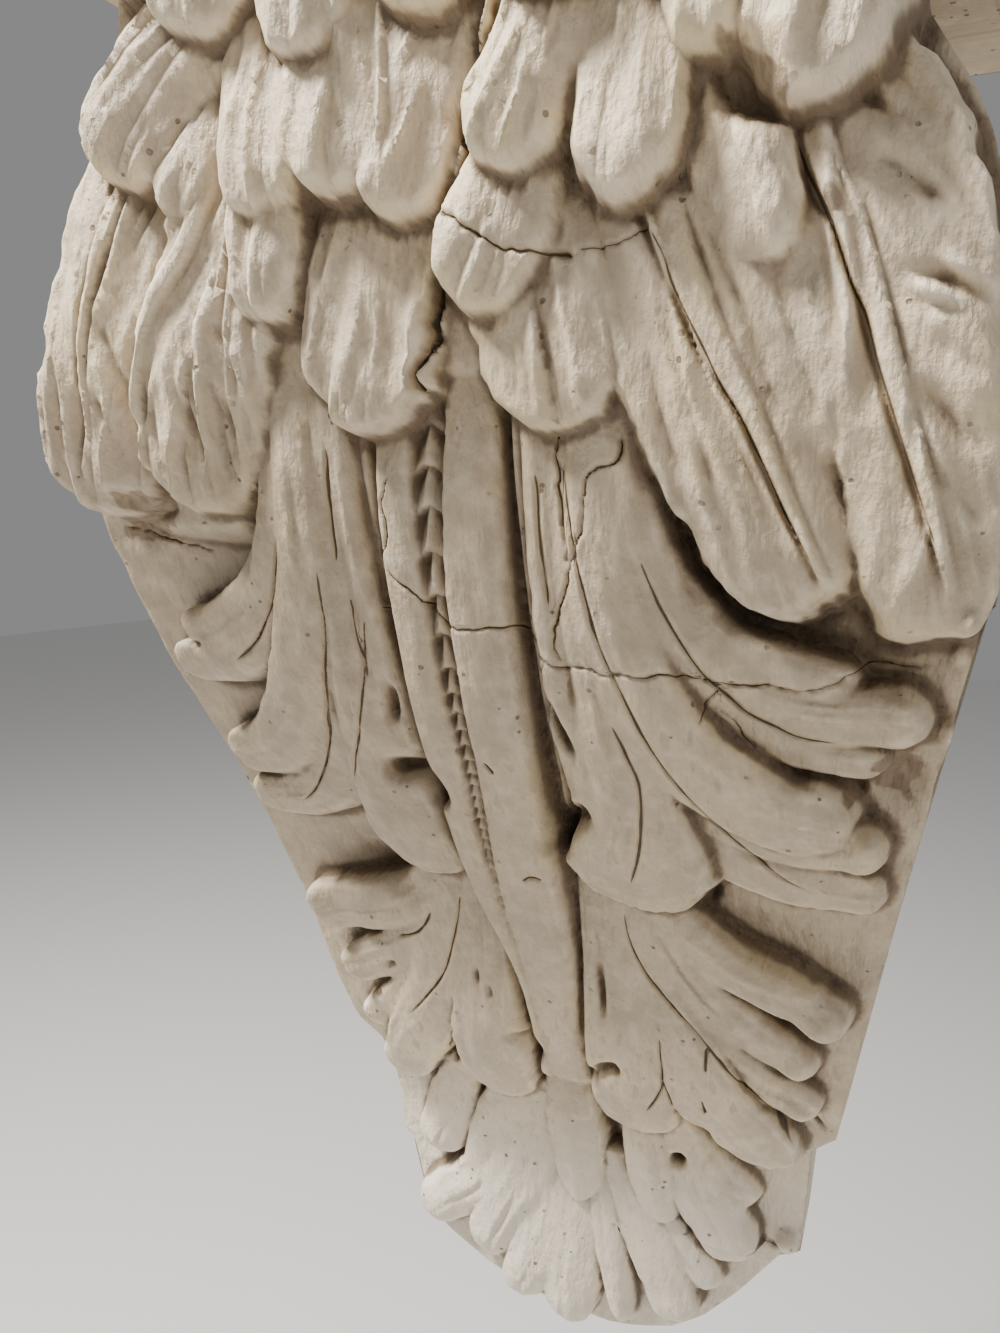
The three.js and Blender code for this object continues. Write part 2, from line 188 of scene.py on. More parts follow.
class Carving:
    """The front as a grid: at each point the height over the ground, and the distances along
    and across the blade that shows there. The ground's own run up the block in short streaks.
    The count of what has been laid seeds the unevenness of the next."""

    def __init__(self, x, z):
        self.x, self.z = x, z
        self.height = np.zeros(x.shape)
        self.along = SHORT_STREAKS * (z + FAR_DOWN)
        self.across = x.copy()
        self.count = 0

    def near(self, line, margin):
        """The part of the grid around a line, as two slices."""
        low, high = line.min(0) - margin, line.max(0) + margin
        rows = np.where((self.z[:, 0] >= low[1]) & (self.z[:, 0] <= high[1]))[0]
        rows = slice(rows[0], rows[-1] + 1)
        columns = np.where(((self.x[rows] >= low[0]) & (self.x[rows] <= high[0])).any(0))[0]
        return rows, slice(columns[0], columns[-1] + 1)

    def beside(self, line, margin, crack=False):
        """The part of the grid around a line, its x and z, and how far along and beside the
        line its points lie, with the line's length. A crack wanders beside its line."""
        part = self.near(line, margin)
        x, z = self.x[part], self.z[part]
        return part, x, z, *along(line, *(crooked(x, z) if crack else (x, z)))

    def lay(self, part, height, blend, reach, side):
        """Lay a surface over the grid: the higher of the two, rounded into each other over
        the blend height."""
        old = self.height[part]
        mix = np.clip(0.5 + 0.5 * (height - old) / blend, 0, 1)
        joined = old * (1 - mix) + height * mix + blend * mix * (1 - mix)
        self.height[part] = np.where(height > old - blend, joined, old)
        shows = height > old
        self.count += 1
        self.along[part] = np.where(shows, reach, self.along[part])
        self.across[part] = np.where(shows, side, self.across[part])

    def carve_blade(self, spine, half, lift, crown=(4, 4), tip=1.2, square=2.0, blend=0.5,
                    scoops=None, lean=0, curl=0, ragged=0.05, roof=0):
        """A blade. Its half width, lift and crown run from root to tip through their
        stations. q is 0 on the spine and 1 on the edge, as a superellipse of the distances
        across and into the tip; the height is the lift, less crown times q squared, less a
        rounded edge, and past the edge it falls away SHEER times as fast as it goes out."""
        line = curve(spine)
        half, lift, crown = (stations_of(v) for v in (half, lift, crown))
        end = half[-1][1]
        heading = (line[-1] - line[-2]) / np.hypot(*(line[-1] - line[-2]))
        longer = np.vstack([line, line[-1] + heading * PAST_TIP * end])
        widest = max(v for _, v in half)
        part, x, z, reach, side, total = self.beside(longer, widest * 1.3 + 9)
        total = total - PAST_TIP * end
        f = np.clip(reach / total, 0, 1)
        width = through(half, f)
        over = side / width
        into_tip = np.maximum(tip * end - (total - reach), 0) / (tip * end)
        q = (np.abs(over) ** square + into_tip ** square) ** (1 / square)
        q = q * (1 + ragged * unevenness(x, z, 9, self.count + 5)
                 + 0.4 * ragged * unevenness(x, z, 3.5, self.count + 90))
        inside = np.minimum(q, 1)
        height = through(lift, f) - through(crown, f) * inside ** 2 + lean * np.clip(over, -1, 1)
        if roof:
            height = height + through(crown, f) * inside ** 2 - roof * np.minimum(np.abs(over), 1)
        height = height - EDGE_DROP * fade(1 - EDGE_BAND / widest, 1.0, inside)
        if curl:
            for place, spread, share in CURL:
                off = (total - reach - place * end) / (spread * end)
                height = height + share * curl * np.exp(-off ** 2)
        if scoops:
            height = height + self.scoops(reach, side, f, scoops)
        height = height - np.maximum(q - 1, 0) * width * SHEER
        self.lay(part, np.where(q < CUT_OFF, height, NOTHING), blend, reach, side)

    def scoops(self, reach, side, f, gouge):
        """The gouge's marks along a blade. A slow random wave, drawn out lengthwise and turned
        outwards by the slant, gives hollows that meet in sharp crests wherever it crosses
        zero; a finer one lies over it. The two sides have their own marks."""
        pitch, slant, depth = gouge
        over = np.abs(side) - slant * reach + 50 * (side > 0)
        marks = 0
        for k, (fineness, stretch, share) in enumerate(SCOOPS):
            wave = unevenness(over, stretch * reach, fineness * pitch, self.count + 40 + k)
            marks = marks + share * (1 - SCOOP_CREST * np.abs(wave))
        return depth * marks * fade(0.0, 0.2, f)

    def cut_line(self, points, width, depth, ends, sharp=False, crack=False):
        """A cut along a line: a V, or a rounded groove, that runs out over this share of its
        length at both ends."""
        part, _, _, reach, side, total = self.beside(curve(points), 3 * width + 2, crack)
        section = np.clip(1 - np.abs(side) / width, 0, 1) if sharp else np.exp(-(side / width) ** 2)
        f = reach / total
        runs = fade(0, ends, f) * (1 - fade(1 - ends, 1, f))
        self.height[part] -= depth * section * runs

    def quill(self, points, half, height):
        """A feather's quill: a flat strip, wider at the root, that stands a little over the
        vane between two cut grooves, the left one the deeper."""
        part, _, _, reach, side, total = self.beside(curve(points), 9)
        f = reach / total
        width = through(stations_of(half), f)
        strip = 1 - fade(0.75, 1.1, np.abs(side) / width)
        deeper = 1.7 * np.exp(-((side + width + 0.5) / 0.9) ** 2)
        groove = deeper + np.exp(-((side - width - 0.4) / 0.9) ** 2)
        runs = fade(0, 0.02, f) * (1 - fade(0.93, 1, f))
        self.height[part] += runs * (height * strip * (1 - 0.25 * (side / width) ** 2) - groove)

    def hollow(self, x0, z0, across, up, turn, depth):
        """A dished hollow, or with a negative depth a lump."""
        part = self.near(np.array([[x0, z0]], float), 2.2 * max(across, up))
        a, b = in_dish(self.x[part], self.z[part], x0, z0, across, up, turn)
        self.height[part] -= depth * np.exp(-(a * a + b * b) ** 1.5)


# The leaves
# Two tiers of acanthus spread from the stem to both sides, and a small one ends the foot. Each
# leaf is one smooth sheet whose lobes part only near their rounded, curled tips. They are cut
# out of the block's own wood.
LOBE_GOUGE = (7, 0.02, 0.7)
SHEET_GROUND = 40
LOBES_MELT, FOOT_LOBES_MELT = 3.2, 2.6


def lobe(spine, half, lift, crown, tip=1.2, curl=0):
    """A leaf's lobe as a blade, nearly flat at its root and crowned at its tip."""
    return dict(spine=spine, half=half, lift=lift, crown=(1, crown), tip=tip, curl=curl)


UPPER_RIGHT = [
    lobe([(44, 140), (50, 92), (60, 54), (78, 29), (102, 19), (128, 18)],
         (6, 11, 12, 9), (14, 22, 19, 13), 3, curl=1),
    lobe([(47, 150), (50, 115), (58, 78), (74, 51), (98, 39), (127, 36)],
         (7, 11, 12, 9), (15, 26, 22, 18), 3, curl=2),
    lobe([(54, 186), (55, 150), (60, 128), (70, 112), (84, 100), (117, 93)],
         (7, 8, 9, 8, 6.5), (11, 18, 20, 19), 4),
    lobe([(54, 182), (57, 136), (63, 114), (76, 97), (100, 84), (135, 85)],
         (7, 10, 11, 9.5, 8.5), (12, 22, 23, 20, 21), 4, curl=2.5),
    lobe([(54, 182), (55, 134), (61, 108), (73, 89), (94, 74), (126, 68)],
         (7, 9, 9, 7.5, 5.5), (12, 23, 22, 18, 15), 3),
    lobe([(49, 182), (50, 128), (56, 94), (70, 68), (92, 51), (117, 45)],
         (6, 8, 12, 14, 13), (13, 24, 29, 30, 26), 5),
    lobe([(25, 182), (25, 110), (24, 60), (20, 20)], (3.2, 3, 2.2), (11, 15, 14), 2),
    lobe([(33, 182), (33, 120), (33, 85), (35, 46)], (5, 5.5, 5.5), (13, 23, 29), 3),
    lobe([(42, 182), (42, 120), (47, 76), (49, 30), (48, 0)],
         [(0, 5), (0.35, 6), (0.6, 11), (0.84, 24), (1, 25)],
         [(0, 13), (0.4, 25), (0.7, 32), (0.85, 35), (1, 31)], 7, tip=1.05),
]
UPPER_LEFT = [
    lobe([(-44, 140), (-47, 95), (-58, 58), (-76, 34), (-100, 23), (-121, 22)],
         (7, 12, 12, 9), (14, 22, 18, 14), 3, curl=1.5),
    lobe([(-48, 186), (-49, 152), (-56, 130), (-74, 110), (-96, 99), (-117, 95)],
         (7, 8, 10, 9, 7), (11, 19, 20, 16), 4, curl=1),
    lobe([(-48, 182), (-52, 138), (-64, 110), (-84, 92), (-105, 84), (-127, 82)],
         (8, 11, 12, 10, 8), (12, 22, 20, 15), 3, curl=1),
    lobe([(-46, 182), (-48, 126), (-57, 92), (-74, 66), (-95, 48), (-121, 41)],
         (6, 8, 12, 13, 10), (13, 24, 27, 23, 17), 4, curl=1.5),
    lobe([(-25, 182), (-25, 110), (-24, 60), (-21, 20)], (4, 3.5, 2.5), (11, 15, 14), 2),
    lobe([(-32, 182), (-31, 120), (-30, 85), (-31, 54)], (5, 5.5, 6.5), (13, 23, 27), 3),
    lobe([(-40, 182), (-39, 120), (-41, 76), (-39, 30), (-31, -1)],
         [(0, 5), (0.35, 6), (0.6, 11), (0.84, 18), (1, 15)],
         [(0, 13), (0.4, 25), (0.7, 31), (0.85, 33), (1, 28)], 6, tip=1.05),
]
LOWER_RIGHT = [
    lobe([(36, 14), (44, -40), (60, -80), (78, -108), (97, -130)], (7, 13, 18, 14), (14, 20, 23, 17), 4),
    lobe([(40, 14), (48, -30), (64, -60), (84, -80), (109, -93)],
         (7, 11, 11, 8), (13, 18, 17, 13), 3, curl=1.5),
    lobe([(44, 14), (54, -20), (68, -43), (86, -58), (107, -71)],
         (7, 11, 10, 7), (13, 19, 18, 15), 3, curl=1.5),
    lobe([(48, 14), (58, -8), (74, -23), (93, -32), (117, -46)],
         (7, 9, 9.5, 9.5), (13, 19, 21, 20), 4, curl=2.5),
    lobe([(26, 14), (27, -40), (33, -88), (38, -129)], (6, 9, 17, 19), (13, 18, 25, 22), 5),
]
LOWER_LEFT = [
    lobe([(-30, 14), (-42, -40), (-58, -82), (-76, -112), (-93, -141)],
         (7, 12, 15, 12), (13, 20, 20, 14), 4),
    lobe([(-32, 14), (-46, -38), (-62, -68), (-80, -88), (-99, -102)],
         (7, 11, 11, 8.5), (13, 18, 17, 13), 3, curl=1.5),
    lobe([(-34, 14), (-46, -24), (-62, -48), (-84, -62), (-104, -73)],
         (7, 11, 12, 9), (13, 18, 18, 14), 3, curl=1.5),
    lobe([(-30, 14), (-44, -10), (-64, -25), (-90, -33), (-114, -39)],
         (7, 10, 13, 12), (13, 19, 20, 16), 4, curl=2.5),
    lobe([(-22, 14), (-24, -40), (-29, -88), (-31, -131)], (5, 9, 17, 18), (13, 18, 25, 21), 5),
]
FOOT_LEAVES = [
    [lobe([(-56, -124), (-68, -158), (-81, -188)], (9, 14, 13), (10, 15, 14), 6, curl=1.5)],
    [lobe([(-14, -122), (-48, -190), (-87, -227)], (8, 14, 13), (12, 16, 14), 6, curl=1.5),
     lobe([(-26, -120), (-46, -164), (-57, -195)], (8, 11, 9), (14, 18, 14), 6),
     lobe([(-14, -130), (-32, -192), (-53, -240)], (8, 18, 13), (13, 19, 15), 6)],
    [lobe([(48, -118), (62, -150), (83, -166)], (8, 13, 10), (11, 15, 13), 6),
     lobe([(48, -118), (60, -164), (77, -199)], (8, 16, 13), (12, 18, 15), 6, curl=1)],
    [lobe([(20, -160), (48, -198), (66, -221)], (6, 10, 9), (11, 14, 11), 5),
     lobe([(16, -160), (38, -205), (50, -243)], (6, 13, 12), (12, 17, 14), 6, curl=1)],
    [lobe([(8, -165), (17, -214), (23, -254)], (6, 9, 5), (12, 17, 14), 6, tip=2.4)],
    [lobe([(34, -116), (37, -155), (41, -190)], (8, 11, 9.5), (12, 22, 17), 7)],
    [lobe([(-6, -165), (-20, -220), (-34, -256)], (6, 15, 12), (12, 18, 16), 6),
     lobe([(-2, -165), (-3, -214), (-6, -262)], (6, 14, 14), (12, 18, 16), 5)],
]


def carve_leaf(front, blades, blend):
    """One leaf: its lobes run smoothly into each other, and the finished sheet is laid over
    what lies behind with a clean edge."""
    sheet = Carving(front.x, front.z)
    sheet.height -= SHEET_GROUND
    sheet.count = front.count
    for blade in blades:
        sheet.carve_blade(blend=blend, square=2.2, scoops=LOBE_GOUGE, **blade)
    front.count = sheet.count
    front.lay(WHOLE_FRONT, sheet.height, 0.4, sheet.along, sheet.across)


def carve_leaves(front):
    """The leaves from the back forwards: the lower tier, the foot's, then the upper tier."""
    for blades in (LOWER_RIGHT, LOWER_LEFT):
        carve_leaf(front, blades, LOBES_MELT)
    for blades in FOOT_LEAVES:
        carve_leaf(front, blades, FOOT_LOBES_MELT)
    for blades in (UPPER_RIGHT, UPPER_LEFT):
        carve_leaf(front, blades, LOBES_MELT)


# The stem
# A stem of two ribs runs down the middle, the right one the wider, with a channel between them
# that holds a chain of small husks. It narrows towards a closed bud at the foot.
STEM_TOP, STEM_END = 200, -120
STEM_LEFT = [(-118, -9), (-100, -9), (-80, -8), (-50, -9), (-20, -15), (0, -18), (30, -20), (200, -19)]
STEM_RIGHT = [(-118, 14), (-80, 15), (-40, 16), (0, 17.5), (40, 19.5), (100, 20.5), (200, 22)]
STEM_LIFT = [(-118, 14), (-81, 18), (-36, 25), (8, 31), (38, 32), (91, 28), (142, 21), (165, 15),
             (200, 9)]
CHANNEL_MIDDLE = [(-60, -4), (-20, -6), (0, -6), (20, -5), (41, -4), (60, -2.5), (120, -2), (140, -1.2),
                  (180, 0)]
CHANNEL_HALF = [(-60, 0.2), (-20, 0.8), (0, 1.3), (20, 2), (41, 2.6), (90, 3.3), (120, 4), (140, 5),
                (180, 5.6)]
CHANNEL_DEPTH = [(-60, 0), (-20, 1.5), (41, 4), (90, 6), (176, 6.5)]
HUSK_NUMBER = [(-30, 30), (20, 19), (52, 12.2), (64, 10), (76, 8), (91.5, 6), (115, 4), (141, 2),
               (164, 0), (188, -2)]
STEM_GOUGE = (7, 0, 0.3)
RIB_DROP, RIB_CREST = 8, 0.4
HUSK_SLANT = 0.75
GAP_LEVELS = (190, 150, 110, 70, 30, -10, -40, -70, -95, -114)
BUD_SPINE = [(1, -100), (1, -145), (1, -186)]


def carve_stem(front):
    """Each rib is a low crown between the channel and its outer edge. A husk is a slope that
    rises downwards and breaks off along a chevron, with a sharp ridge in the middle; they are
    numbered downwards, and the fraction of that number tells the place on the slope. A gap is
    cut beside each rib, and the bud, roofed like a keel, closes the end."""
    x, z = front.x, front.z
    middle, channel = through(CHANNEL_MIDDLE, z), through(CHANNEL_HALF, z)
    left, right = through(STEM_LEFT, z), through(STEM_RIGHT, z)
    lift, depth = through(STEM_LIFT, z), through(CHANNEL_DEPTH, z)
    off = x - middle + 0.3 * unevenness(x, z, 30, 3)
    breadth = np.where(off > 0, right - middle, middle - left) - channel
    rib = np.clip((np.abs(off) - channel) / breadth, 0, 1.2)
    height = lift - RIB_DROP * (rib - RIB_CREST) ** 2 - 1.2 * fade(0.82, 1.0, rib)
    height = height + front.scoops(FAR_DOWN - z, off, 0.5 + 0 * z, STEM_GOUGE)
    number = through(HUSK_NUMBER, z + HUSK_SLANT * np.abs(off))
    step = np.ceil(number) - number
    share = np.clip(np.abs(off) / channel, 0, 1)
    husk = depth * (0.95 * (1 - step) ** 0.7 - 0.25 * share ** 2)
    husk = husk + 0.5 * depth * step * np.exp(-(off / (0.3 * channel)) ** 2)
    floor = lift - depth - 1.5 + np.maximum(husk, 0)
    wall = np.clip(np.abs(off) - channel + 0.5, 0, 1)
    height = np.where(np.abs(off) < channel + 0.5, floor + (height - floor) * wall, height)
    past = np.maximum(np.maximum(x - right, left - x), 0)
    height = height - past * 5
    here = (z < STEM_TOP) & (z > STEM_END) & (past < 7)
    height = np.where(here, height - 9 * fade(STEM_END + 16, STEM_END + 1, z), NOTHING)
    front.lay(WHOLE_FRONT, height, 0.3, z + FAR_DOWN, off)
    for edge, outwards, deep in ((STEM_LEFT, -1.2, 3), (STEM_RIGHT, 1.2, 5.5)):
        gap = [(through(edge, level) + outwards, level) for level in GAP_LEVELS]
        front.cut_line(gap, 1.4, deep, ends=0.04)
    front.carve_blade(BUD_SPINE, half=(9, 13, 11), lift=(12, 22, 19), crown=(2, 4), tip=1.3, roof=5)


# The feathers
# The upper third is plumage, carved in the block on a low mound: long flight feathers at both
# sides, with a quill and slanting barbs, and short rounded coverts above them in rows that
# overlap like tiles.
FEATHER = dict(crown=(2.5, 4), square=2.3, ragged=0.08)
BARB_PITCH = 8
COVERT_GOUGE = (6.5, 0.05, 1.7)
MOUND_HEIGHT = 15
MOUND_LOW, MOUND_RAISED, MOUND_FADE = 178, 44, 12
CORE_HALF = [(128, 118), (150, 140), (172, 139), (205, 132), (232, 121), (262, 108), (330, 104)]
# A feather is its spine, its half widths and lifts from root to tip, and its lean; a flight
# feather also has the slant and the depth of its barbs.
FLIGHT = [
    ([(-93, 254), (-112, 198), (-129, 137)], (17, 24, 22), (10, 20, 25), 0, -0.12, 2.0),
    ([(-46, 254), (-60, 215), (-71, 188), (-79, 160), (-83, 137)],
     (15, 20, 23, 23, 19), (13, 22, 28), -1, 0.22, 2.3),
    ([(58, 232), (69, 203), (80, 174), (94, 141), (105, 115)],
     [(0, 18), (0.3, 22), (0.6, 22), (0.85, 18.5), (1, 15)], (15, 24, 29), 0, 0.1, 1.9),
    ([(97, 240), (109, 211), (119, 188), (127, 160), (132, 135), (134, 110)],
     (20, 26, 24, 19, 17, 13), (15, 25, 30), 0, 0.2, 2.0),
]
QUILLS = [
    ([(-97, 240), (-108, 214), (-117, 190), (-122, 166), (-130, 144)], (2.5, 2.2, 1.5), 0.9),
    ([(-58, 240), (-73, 213), (-84, 200), (-93, 186), (-97, 172), (-100, 152), (-102, 140)], (3, 3, 2),
     1.3),
    ([(68, 213), (74, 197), (83, 178), (92, 162), (98.5, 147), (105, 133), (111, 120)], (5, 3.6, 2, 1.3),
     1.5),
    ([(100, 230), (106, 212), (111, 203), (118, 183), (123, 167), (129, 150), (134, 135), (139, 120)],
     (3.8, 3, 2.3, 1.4), 1.5),
]
COVERTS = [
    ([(80, 248), (86, 222), (95, 196)], (9, 12, 9), (22, 27), 2),
    ([(-42, 236), (-43, 212), (-45, 191)], (12, 12, 10), (24, 30), 0),
    ([(-9, 224), (-12, 192), (-19, 163)], (19, 22, 20), (17, 30), 0),
    ([(33, 216), (38, 188), (43, 161)], (17, 19, 17), (18, 29), 1),
    ([(33, 236), (29, 210), (20, 190)], (15, 15, 11), (22, 33), -2),
    ([(-58, 254), (-66, 240), (-79, 223)], (9, 11, 10), (16, 24), 0),
    ([(-48, 276), (-76, 260), (-99, 236)], (14, 16, 14), (22, 27), -2),
    ([(-36, 272), (-40, 245), (-40, 218)], (12, 15, 14), (22, 34), 1),
    ([(16, 270), (10, 243), (-2, 213)], (13, 14, 9), (22, 33), -1.5),
    ([(-14, 274), (-13, 247), (-15, 219)], (15, 17, 14), (26, 37), -2),
    ([(63, 268), (63, 239), (61, 211)], (13, 13.5, 12), (22, 35), -1),
    ([(44, 268), (40, 244), (31, 220)], (13, 14, 10), (26, 37), -2.5),
    ([(80, 274), (80, 256), (80, 238)], (9, 10, 9), (24, 35), 0),
    ([(106, 276), (103, 250), (98, 226)], (16, 17, 12), (24, 37), -1),
    ([(-18, 298), (-20, 276), (-22, 252)], (14, 16, 15), (26, 39), 0),
    ([(13, 300), (12, 277), (10, 256)], (12, 13, 12), (26, 39), 0),
    ([(44, 302), (44, 276), (43, 255)], (14, 15, 13), (26, 39), 0),
    ([(72, 300), (72, 277), (71, 255)], (12, 14, 12), (24, 38), 0),
    ([(-50, 304), (-54, 284), (-57, 263)], (15, 18, 16), (26, 36), -1),
]
UPPER_ROWS = [((-84, -33, 0, 29, 60, 92), 282, 40), ((-68, -17, 15, 46, 78, 104), 300, 32)]


def carve_mound(front):
    """The low mound that the feathers lie on: an ellipse in section, higher over the flights
    at the sides than over the leaves' roots in the middle."""
    x, z = front.x, front.z
    off = np.abs(x) / through(CORE_HALF, z)
    mound = MOUND_HEIGHT * np.sqrt(np.clip(1 - 0.9 * np.minimum(off, 1) ** 2, 0, 1))
    mound = mound - 300 * np.maximum(off - 1, 0)
    starts = MOUND_LOW - MOUND_RAISED * fade(50, 80, np.abs(x))
    below = starts - MOUND_FADE
    mound = mound - (MOUND_HEIGHT - 1) * (1 - fade(below, starts, z))
    front.lay(WHOLE_FRONT, np.where(z > below, mound, NOTHING), 0.3, z, x)


def carve_feathers(front):
    """The feathers, each laid over the last: the flights with their quills, the coverts, and
    two plain rows that run up under the slab."""
    for spine, half, lift, lean, *barbs in FLIGHT:
        front.carve_blade(spine, half, lift, lean=lean, tip=1.1, scoops=(BARB_PITCH, *barbs), **FEATHER)
    for points, half, height in QUILLS:
        front.quill(points, half, height)
    plain = []
    for places, tip, length in UPPER_ROWS:
        for x in places:
            spine = [(x, tip + length), (x + 1, tip + 0.5 * length), (x, tip)]
            plain.append((spine, (15, 17, 16), (24, 35), 0))
    for spine, half, lift, lean in COVERTS + plain:
        front.carve_blade(spine, half, lift, lean=lean, tip=1.15, scoops=COVERT_GOUGE, **FEATHER)


# Cuts, cracks and losses
# Veins are incised with a V tool, pockets and slots are drilled and cut deep between the lobes.
# Age has added cracks, a broken left edge, chips down to the wood and a few lost tips.
VEINS = [
    [(41, 155), (43, 138), (44.5, 127), (47, 113), (50, 100), (57, 82), (65, 63), (74, 48), (80, 39),
     (88, 30), (98, 21), (112, 16)],
    [(62, 128), (65, 118), (68, 111), (76, 96), (83, 89), (88, 84), (96, 80), (103, 77), (116, 76)],
    [(50, 78), (53, 68), (56, 55), (54, 32), (48, 14)],
    [(-41, 122), (-44, 103), (-49, 88), (-56, 71), (-64, 56), (-75, 41), (-86, 28), (-97, 20)],
    [(-54, 133), (-59, 120), (-65, 109), (-71, 102), (-79, 94), (-94, 84)],
    [(-29, 106), (-32, 97), (-36, 80), (-41, 66), (-47, 55), (-54, 41)],
    [(39, -2), (40, -18), (45, -32), (52, -42), (60, -52), (73, -69), (81, -80), (90, -91), (98, -107),
     (103, -116)],
    [(50, -62), (50, -85), (48, -94), (42, -106)], [(50, -86), (52, -94), (53, -101)],
    [(-45, -24), (-50, -32), (-56, -38), (-67, -43)],
    [(-30, -12), (-34, -27), (-40, -45), (-46, -58), (-57, -73), (-69, -87)],
    [(-44, -84), (-50, -98), (-54, -106), (-57, -122)], [(-33, 112), (-34, 100), (-33, 84)],
    [(33, 150), (33, 128), (34, 112)], [(-34, 158), (-35, 140), (-35, 122)], [(4, 58), (7, 54)],
    [(7, 8), (10, 10), (14, 9)], [(68, -64), (68, -75)], [(66, -90), (67, -98)],
]
QUILL_CUTS = [
    [(66, 206), (70, 199), (73, 191), (80, 178), (84.5, 169), (89.5, 161), (94.5, 151), (100, 139),
     (105.5, 129), (109, 121)],
    [(98, 223), (100.5, 216), (104, 209), (107.5, 202), (112, 190), (115.5, 183), (119, 172), (123, 161),
     (130, 142), (134.5, 130)],
    [(-112, 209), (-117, 194), (-120, 180), (-122.5, 167), (-127, 157)],
    [(-100, 178), (-102, 165), (-103, 148)],
]
# A furrow, a slot or a crack is its line, its width and its depth.
FURROWS = [
    ([(113, 216), (119, 213), (125, 208), (131, 203)], 1.8, 2.6),
    ([(105, 229), (112, 228), (119, 223), (124, 220)], 1.8, 2.2),
    ([(125, 170), (133, 162), (143, 151)], 2.4, 2.2), ([(129, 180), (135, 173), (143, 167)], 1.8, 1.6),
    ([(131, 152), (138, 143), (144, 136)], 1.8, 1.6),
    ([(-112, 200), (-107, 187), (-103, 174), (-101, 162)], 1.8, 1.8),
    ([(-118, 178), (-113, 166), (-110, 154)], 1.7, 1.8), ([(-67, 197), (-61, 183), (-57, 168)], 2.0, 2.0),
    ([(-72, 192), (-69, 178), (-62, 158)], 2.0, 1.8), ([(-79, 184), (-78, 170), (-70, 150)], 2.2, 2.2),
    ([(-91, 176), (-92, 162), (-88, 144)], 2.2, 2.0), ([(88, 186), (94, 172), (99, 160)], 2.0, 1.6),
    ([(66, 182), (70, 160), (74, 146)], 2.2, 1.5), ([(78, 160), (84, 142), (90, 126)], 2.2, 1.5),
]
OPEN_CRACK = [
    ([(31, 252), (28, 247), (24, 241), (19.5, 235), (19, 231), (20.5, 226)], 1.9, 7),
    ([(16, 217), (12, 211), (9.5, 200), (8, 190), (6, 180)], 1.2, 4),
]
SLOTS = [
    ([(27, 88), (30, 76), (34, 66), (37, 61)], 1.8, 9), ([(-27, 86), (-28, 76), (-29, 66)], 1.8, 8),
    ([(25, -25), (26, -40), (27, -55), (27, -67)], 1.6, 6), ([(-29, -46), (-29, -62)], 1.5, 3.5),
    ([(-24, -54), (-22, -66)], 1.3, 3), ([(39, 43), (32, 40), (26, 34), (21, 25), (20, 19)], 3.6, 16),
    ([(-39, 48), (-32, 50), (-25, 49), (-20, 42), (-19, 34)], 3.9, 14),
    ([(35, -84), (28, -86), (21, -92), (17, -102)], 3.2, 9),
    ([(-21, -82), (-14, -82), (-9, -88), (-8, -104)], 2.8, 11),
    ([(62, -110), (64, -116), (64, -123)], 2.4, 8),
    ([(92, 69), (96, 65), (102, 61), (112, 59.5)], 1.8, 7),
    ([(105, -99), (108, -104), (112, -110)], 1.2, 4), ([(98, -55), (104, -60), (108, -64)], 1.8, 4),
    ([(68, 14), (70, 4), (64, -4)], 2.2, 5), ([(-54, -108), (-56, -116), (-57, -122)], 2.2, 6),
    ([(-116, 90), (-108, 90)], 1.3, 2.5), ([(-91, -84), (-83, -81)], 1.8, 2.5),
    ([(-78, -62), (-70, -58)], 1.6, 3),
]
CRACKS = [
    ([(33, 258), (31, 252), (28, 248), (25, 241), (20, 236), (19, 232), (20, 230), (21, 226), (19, 222),
      (15.5, 216), (12.5, 211), (10, 204), (9, 196), (8, 189), (6, 180), (2, 175), (4.5, 168)], 1.7, 6.5),
    ([(-19, 126), (-16, 121), (-10, 115.5), (-4, 110), (0.5, 105.5), (9, 104), (18.5, 105.5), (21, 105),
      (25.5, 99), (28, 96.5), (35, 94), (42, 94.5), (56, 93.5), (77, 93.5), (94, 92), (111, 94),
      (117, 98), (132, 99), (141, 100)], 0.7, 1.4),
    ([(58, 160), (57, 153), (50, 150), (47.5, 141), (46.5, 133), (42.5, 124.5), (39.5, 117), (36.5, 110),
      (35, 101), (36.5, 95)], 0.7, 1.8),
    ([(39.5, 160), (39.5, 149), (40, 141), (41.5, 129), (42.5, 124.5)], 0.7, 1.5),
    ([(14.5, 212), (18.5, 210.5), (21.5, 208), (27.5, 204.5), (34, 201.5), (43, 201), (49, 201)],
     0.7, 1.5),
    ([(-13, 150), (-16, 142), (-16, 131), (-20, 125), (-23, 118), (-25, 109)], 0.7, 1.6),
    ([(25.5, 99), (29, 96), (28, 92), (26.5, 86), (27, 78)], 0.7, 1.4),
    ([(-25, 109), (-20, 104), (-18.5, 98)], 0.6, 1.2), ([(50, 202), (58, 203), (66, 207)], 0.5, 1.0),
    ([(-140, 132), (-120, 128), (-100, 124)], 0.6, 1.2), ([(80, 91), (77, 86), (76, 80)], 0.5, 1.0),
    ([(81, 84), (85, 79), (91, 71)], 0.5, 1.0),
]
